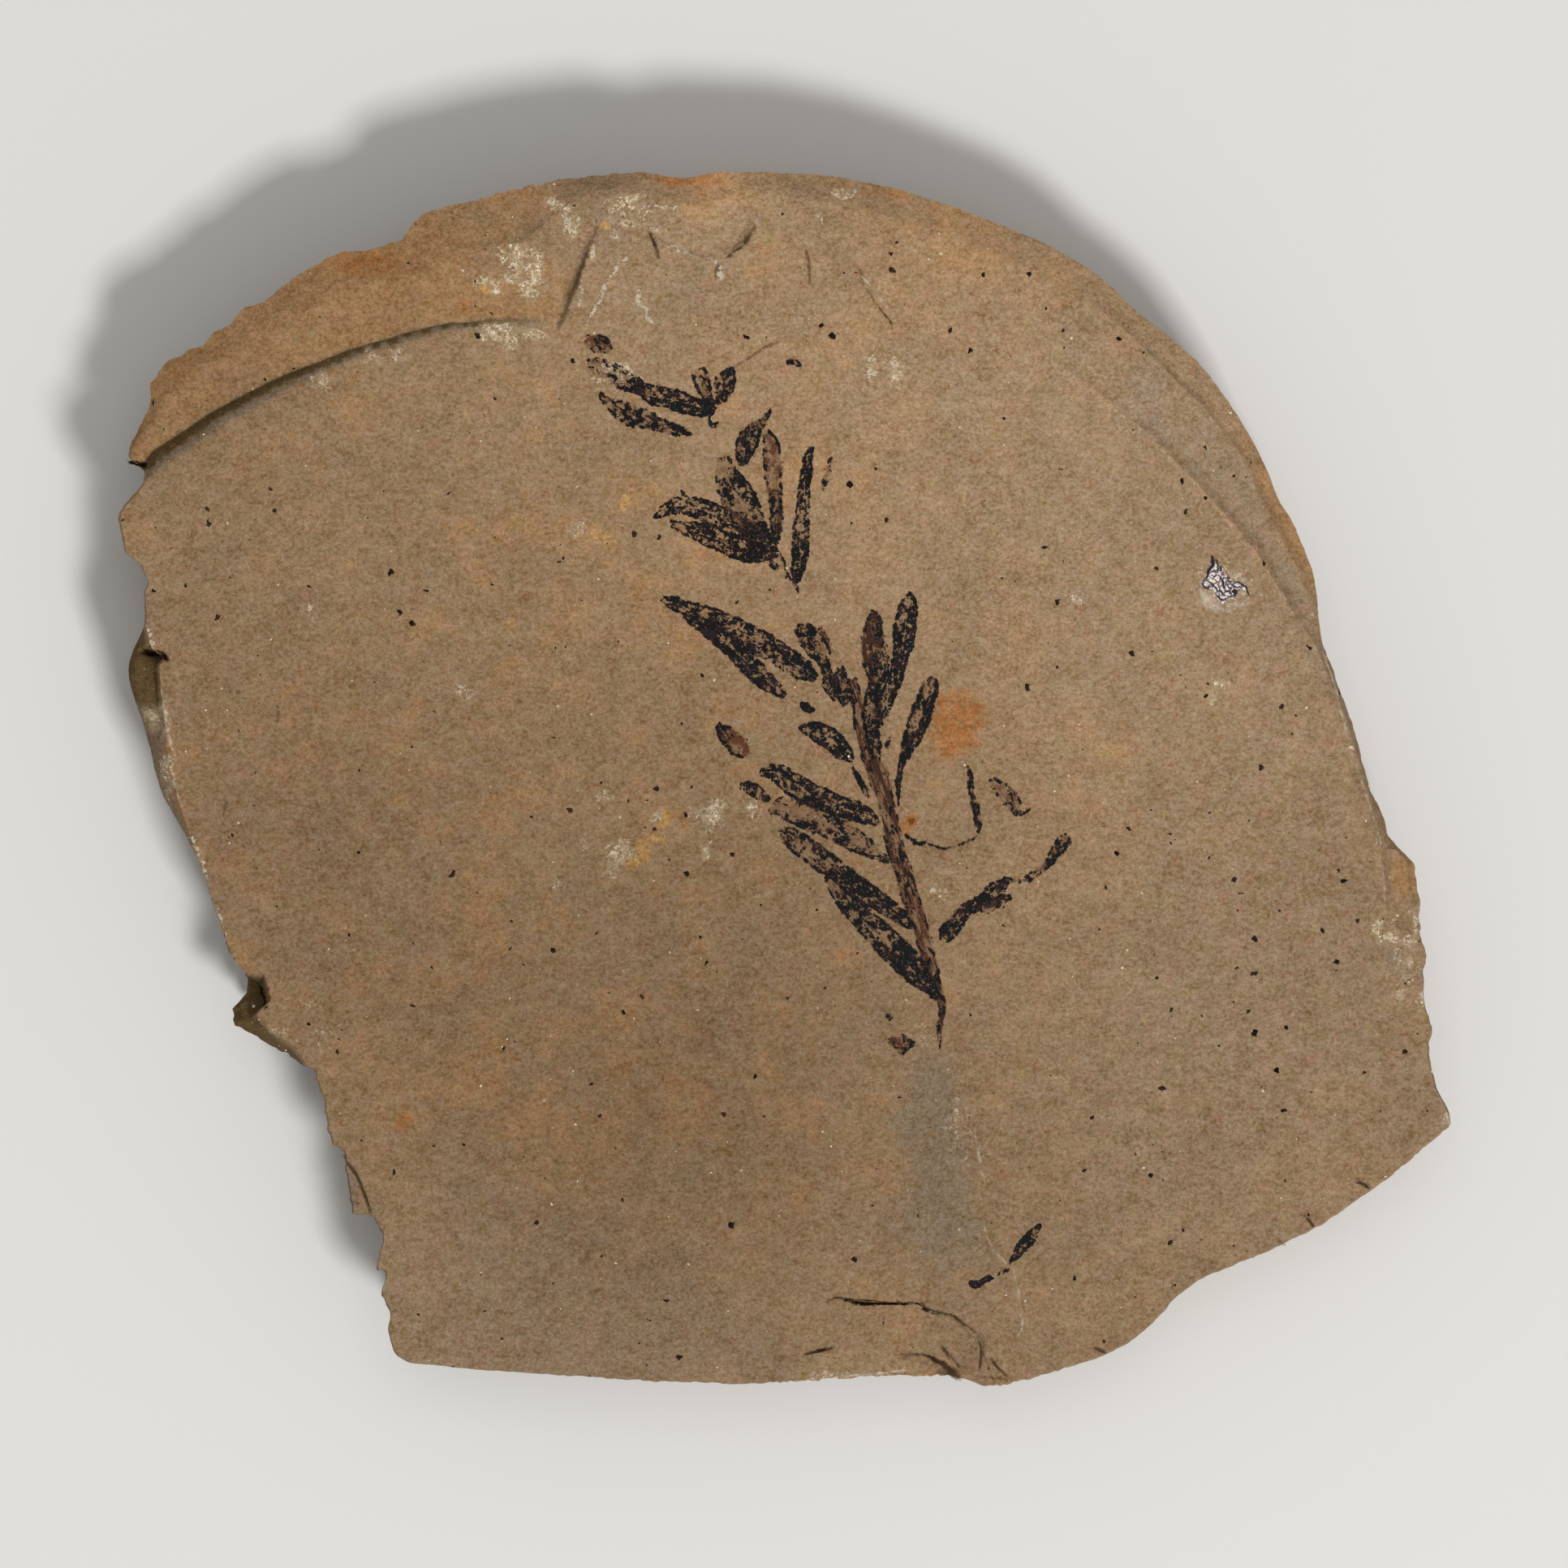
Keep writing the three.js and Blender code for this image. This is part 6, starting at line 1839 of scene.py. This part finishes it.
scatter("flecks", upper_mesh, grain_tree("scattered flecks", dark_grain, True),
        Density=FLECKS_PER_M2, Smallest=0.09 * MM, Largest=0.34 * MM, Narrowest=0.3,
        Flatness=0.2, Raggedness=1.3, Seed=4)
scatter("quartz_grains", upper_mesh, grain_tree("scattered quartz", bright_grain, True),
        Density=QUARTZ_PER_M2, Smallest=0.09 * MM, Largest=0.3 * MM, Narrowest=0.4,
        Flatness=0.5, Raggedness=0.8, Seed=9)
scatter("large_flecks", found_mesh, grain_tree("placed flecks", dark_grain, False),
        Density=0.0, Smallest=0.38 * MM, Largest=0.72 * MM, Narrowest=0.5,
        Flatness=0.18, Raggedness=1.1, Seed=21)

# %% [markdown]
# ## The crystal crust
# Near the right edge sits one small star-shaped crust, a cluster of white crystals with dark
# joints. It stands between 0.1 and 0.2 mm proud. Its outline is given and its top is a
# small triangulated dome, closed below. The widest joints are ribbons of their own, and the
# stone round the crust is bruised pale.

# %% The crust's shape
crust_outline = [
    (38.47, 20.04), (38.83, 19.31), (39.13, 18.94), (39.42, 19.16), (39.49, 18.58), (39.93, 18.07),
    (40.36, 17.78), (41.38, 17.56), (41.75, 16.76), (40.95, 17.19), (40.66, 16.54), (40.36, 16.17),
    (39.78, 16.17), (39.34, 15.66), (38.91, 16.25), (38.54, 17.05), (37.89, 17.19), (37.45, 17.34),
    (37.74, 18.07), (38.03, 18.72),
]
CRUST_SPACING = 0.13
CRUST_HEIGHT = 0.16
CRUST_ROOT = 0.08            # depth of its underside in the stone
CRUST_MIDDLE = (39.3, 17.7)
CRUST_REACH = 3.4            # from the middle, past its longest point
CLEAR_OF_CRUST = 0.07        # how far loose points stay from the outline


def crust_mesh():
    """Points and faces of a low dome with a flat underside."""
    loop = along_line(crust_outline[::-1], CRUST_SPACING, closed=True)
    closed = np.vstack([loop, loop[:1]])
    x, y = loose_points(CRUST_SPACING, 31)
    near = np.hypot(x - CRUST_MIDDLE[0], y - CRUST_MIDDLE[1]) < CRUST_REACH
    x, y = x[near], y[near]
    clear = np.abs(beside(closed, x, y)[0]) > CLEAR_OF_CRUST
    flat, edge, faces = triangulate([loop], [], x[clear], y[clear])
    away = np.abs(beside(closed, *flat.T)[0])
    ground = top_height(*flat.T)
    cells = 0.5 + 0.5 * swell(*flat.T, 0.42, 81)
    height = ground + CRUST_HEIGHT * ease(away / 0.35) * (0.55 + 0.45 * cells)
    top = np.column_stack([flat, height + 0.01])
    low = np.column_stack([flat, ground - CRUST_ROOT])
    edge = np.array(edge)
    next_on = np.roll(edge, -1)
    wall = np.stack([edge, edge + len(flat), next_on + len(flat), next_on], -1)
    return (np.vstack([top, low]),
            faces.tolist() + (faces[:, ::-1] + len(flat)).tolist() + wall.tolist())


crust = new_object("crystal_crust", in_metres("crystal_crust", *crust_mesh()))
print("crust faces:", len(crust.data.polygons))

# %% The crust's finish
CRUST_WHITE = shade(242, 236, 230)
CRUST_LILAC = shade(190, 172, 174)
CRUST_CREAM = shade(234, 216, 184)
CRUST_JOINT = shade(104, 86, 88)

crystal, place = new_finish("crystal crust")
warped = place.vector("ADD", place.noise(1.6, 2).times(0.5))
joint = place.node("ShaderNodeTexVoronoi", {"feature": "DISTANCE_TO_EDGE"}, {
    "Vector": warped, "Scale": 1.7})
speckle = place.noise(5.0, 3, 0.7)
joints = (joint + 0.12 * (speckle - 0.5)).rise(0.10, 0.04)
middle = place.vector("MULTIPLY", (1.0, 1.6, 0.0)).vector("DISTANCE", (38.76, 28.3, 0.0), 1)
colour = speckle.rise(0.42, 0.62).share(CRUST_WHITE, CRUST_LILAC)
colour = middle.rise(0.6, 0.4).share(colour, CRUST_CREAM)
wire_up(crystal, {
    "Base Color": joints.share(colour, CRUST_JOINT),
    "Roughness": 0.35 + 0.3 * speckle,
    "Normal": bump(0.05 * speckle - 0.06 * joints),
    "Specular IOR Level": 0.3})
crust.data.materials.append(crystal)
ride_along(crust)

# %% Bruised stone round the crust
bruise_lines = [
    [(37.3, 17.2, .3), (38, 16.2, .75), (38.8, 15.5, .7), (39.6, 15.2, .5), (40.3, 15.2, .2)],
    [(39.6, 15.8, .3), (40.3, 15.8, .55), (41, 15.8, .5), (41.8, 15.8, .2)],
    [(40, 18.6, .15), (40.5, 18.4, .4), (41.2, 18, .3), (41.7, 17.6, .12)],
]
BRUISE = shade(184, 160, 142)

bruise, place = new_finish("bruised stone")
gap = place.noise(2.2, 4, 0.8)
wire_up(bruise, {
    "Base Color": gap.rise(0.4, 0.6).share(BRUISE, CHALK_BRIGHT),
    "Alpha": (place.attribute("room") + 1.2 * (gap - 0.5)).rise(-0.05, 0.75) * 0.9,
    "Roughness": 0.9, "Specular IOR Level": 0.1})
lay_down("crust_bruise", plain(bruise_lines), bruise)

# %% The crust's widest joints
joint_lines = [
    [(38.47, 20.04, .09), (38.51, 19.67, .16), (38.54, 19.31, .17), (38.47, 18.94, .13)],
    [(38.83, 19.67, .07), (38.94, 19.31, .09), (38.98, 18.87, .09), (38.91, 18.51, .06)],
    [(38.4, 19.09, .11), (38.18, 18.72, .12), (38.03, 18.36, .1), (37.96, 18, .07)],
    [(39.23, 19.09, .07), (39.27, 18.8, .12), (39.27, 18.65, .06)],
    [(38.4, 18.72, .05), (38.69, 18.58, .07), (38.91, 18.72, .05)],
    [(38.4, 18.36, .05), (38.62, 18.14, .06), (38.91, 18.36, .05)],
    [(38.03, 17.85, .06), (38.25, 18.03, .07), (38.62, 18.07, .08), (38.76, 18, .04)],
    [(39.13, 18.14, .06), (39.34, 17.92, .09), (39.49, 17.63, .1), (39.45, 17.27, .09),
     (39.64, 17.05, .06)],
    [(38.18, 17.7, .06), (38.4, 17.49, .08), (38.62, 17.34, .09), (38.83, 17.12, .09),
     (38.98, 16.83, .07)],
    [(37.74, 17.78, .05), (37.63, 17.49, .07), (37.81, 17.19, .09), (38.11, 17.19, .07),
     (38.25, 17.41, .06)],
    [(39.13, 17.05, .05), (39.27, 16.83, .09), (39.42, 16.61, .07), (39.64, 16.47, .04)],
    [(38.91, 16.54, .07), (39.13, 16.17, .09), (39.49, 16.1, .07), (39.85, 16.25, .09),
     (40.15, 16.47, .07)],
    [(39.49, 16.98, .04), (39.71, 16.83, .07), (39.93, 16.9, .06), (40.07, 16.61, .07)],
    [(39.64, 17.7, .05), (40.07, 17.7, .06), (40.58, 17.7, .06), (41.02, 17.56, .08),
     (41.31, 17.41, .12), (41.53, 17.19, .09), (41.6, 16.83, .09), (41.82, 16.47, .04)],
    [(39.78, 17.41, .06), (40, 17.19, .09), (40.22, 17.05, .07)],
    [(40.29, 17.49, .06), (40.44, 17.27, .09), (40.73, 17.19, .07), (40.95, 17.34, .04)],
    [(40.22, 16.83, .11), (40.44, 16.83, .23), (40.58, 16.68, .2), (40.44, 16.47, .11)],
    [(39.78, 17.78, .04), (39.93, 18, .06), (40.07, 18.14, .04)],
]
JOINT_DARK = shade(26, 18, 22)
JOINT_PURPLE = shade(50, 34, 42)
JOINT_LIFT = 0.14

joint_finish, place = new_finish("crust joint")
gap = place.noise(4.0, 2, 0.6)
wire_up(joint_finish, {
    "Base Color": gap.rise(0.4, 0.65).share(JOINT_DARK, JOINT_PURPLE),
    "Alpha": (place.attribute("room") + 0.25 * (gap - 0.5)).rise(-0.01, 0.05) * 0.92,
    "Roughness": 0.7, "Specular IOR Level": 0.2})
lay_down("crust_joints", plain(joint_lines), joint_finish, JOINT_LIFT)
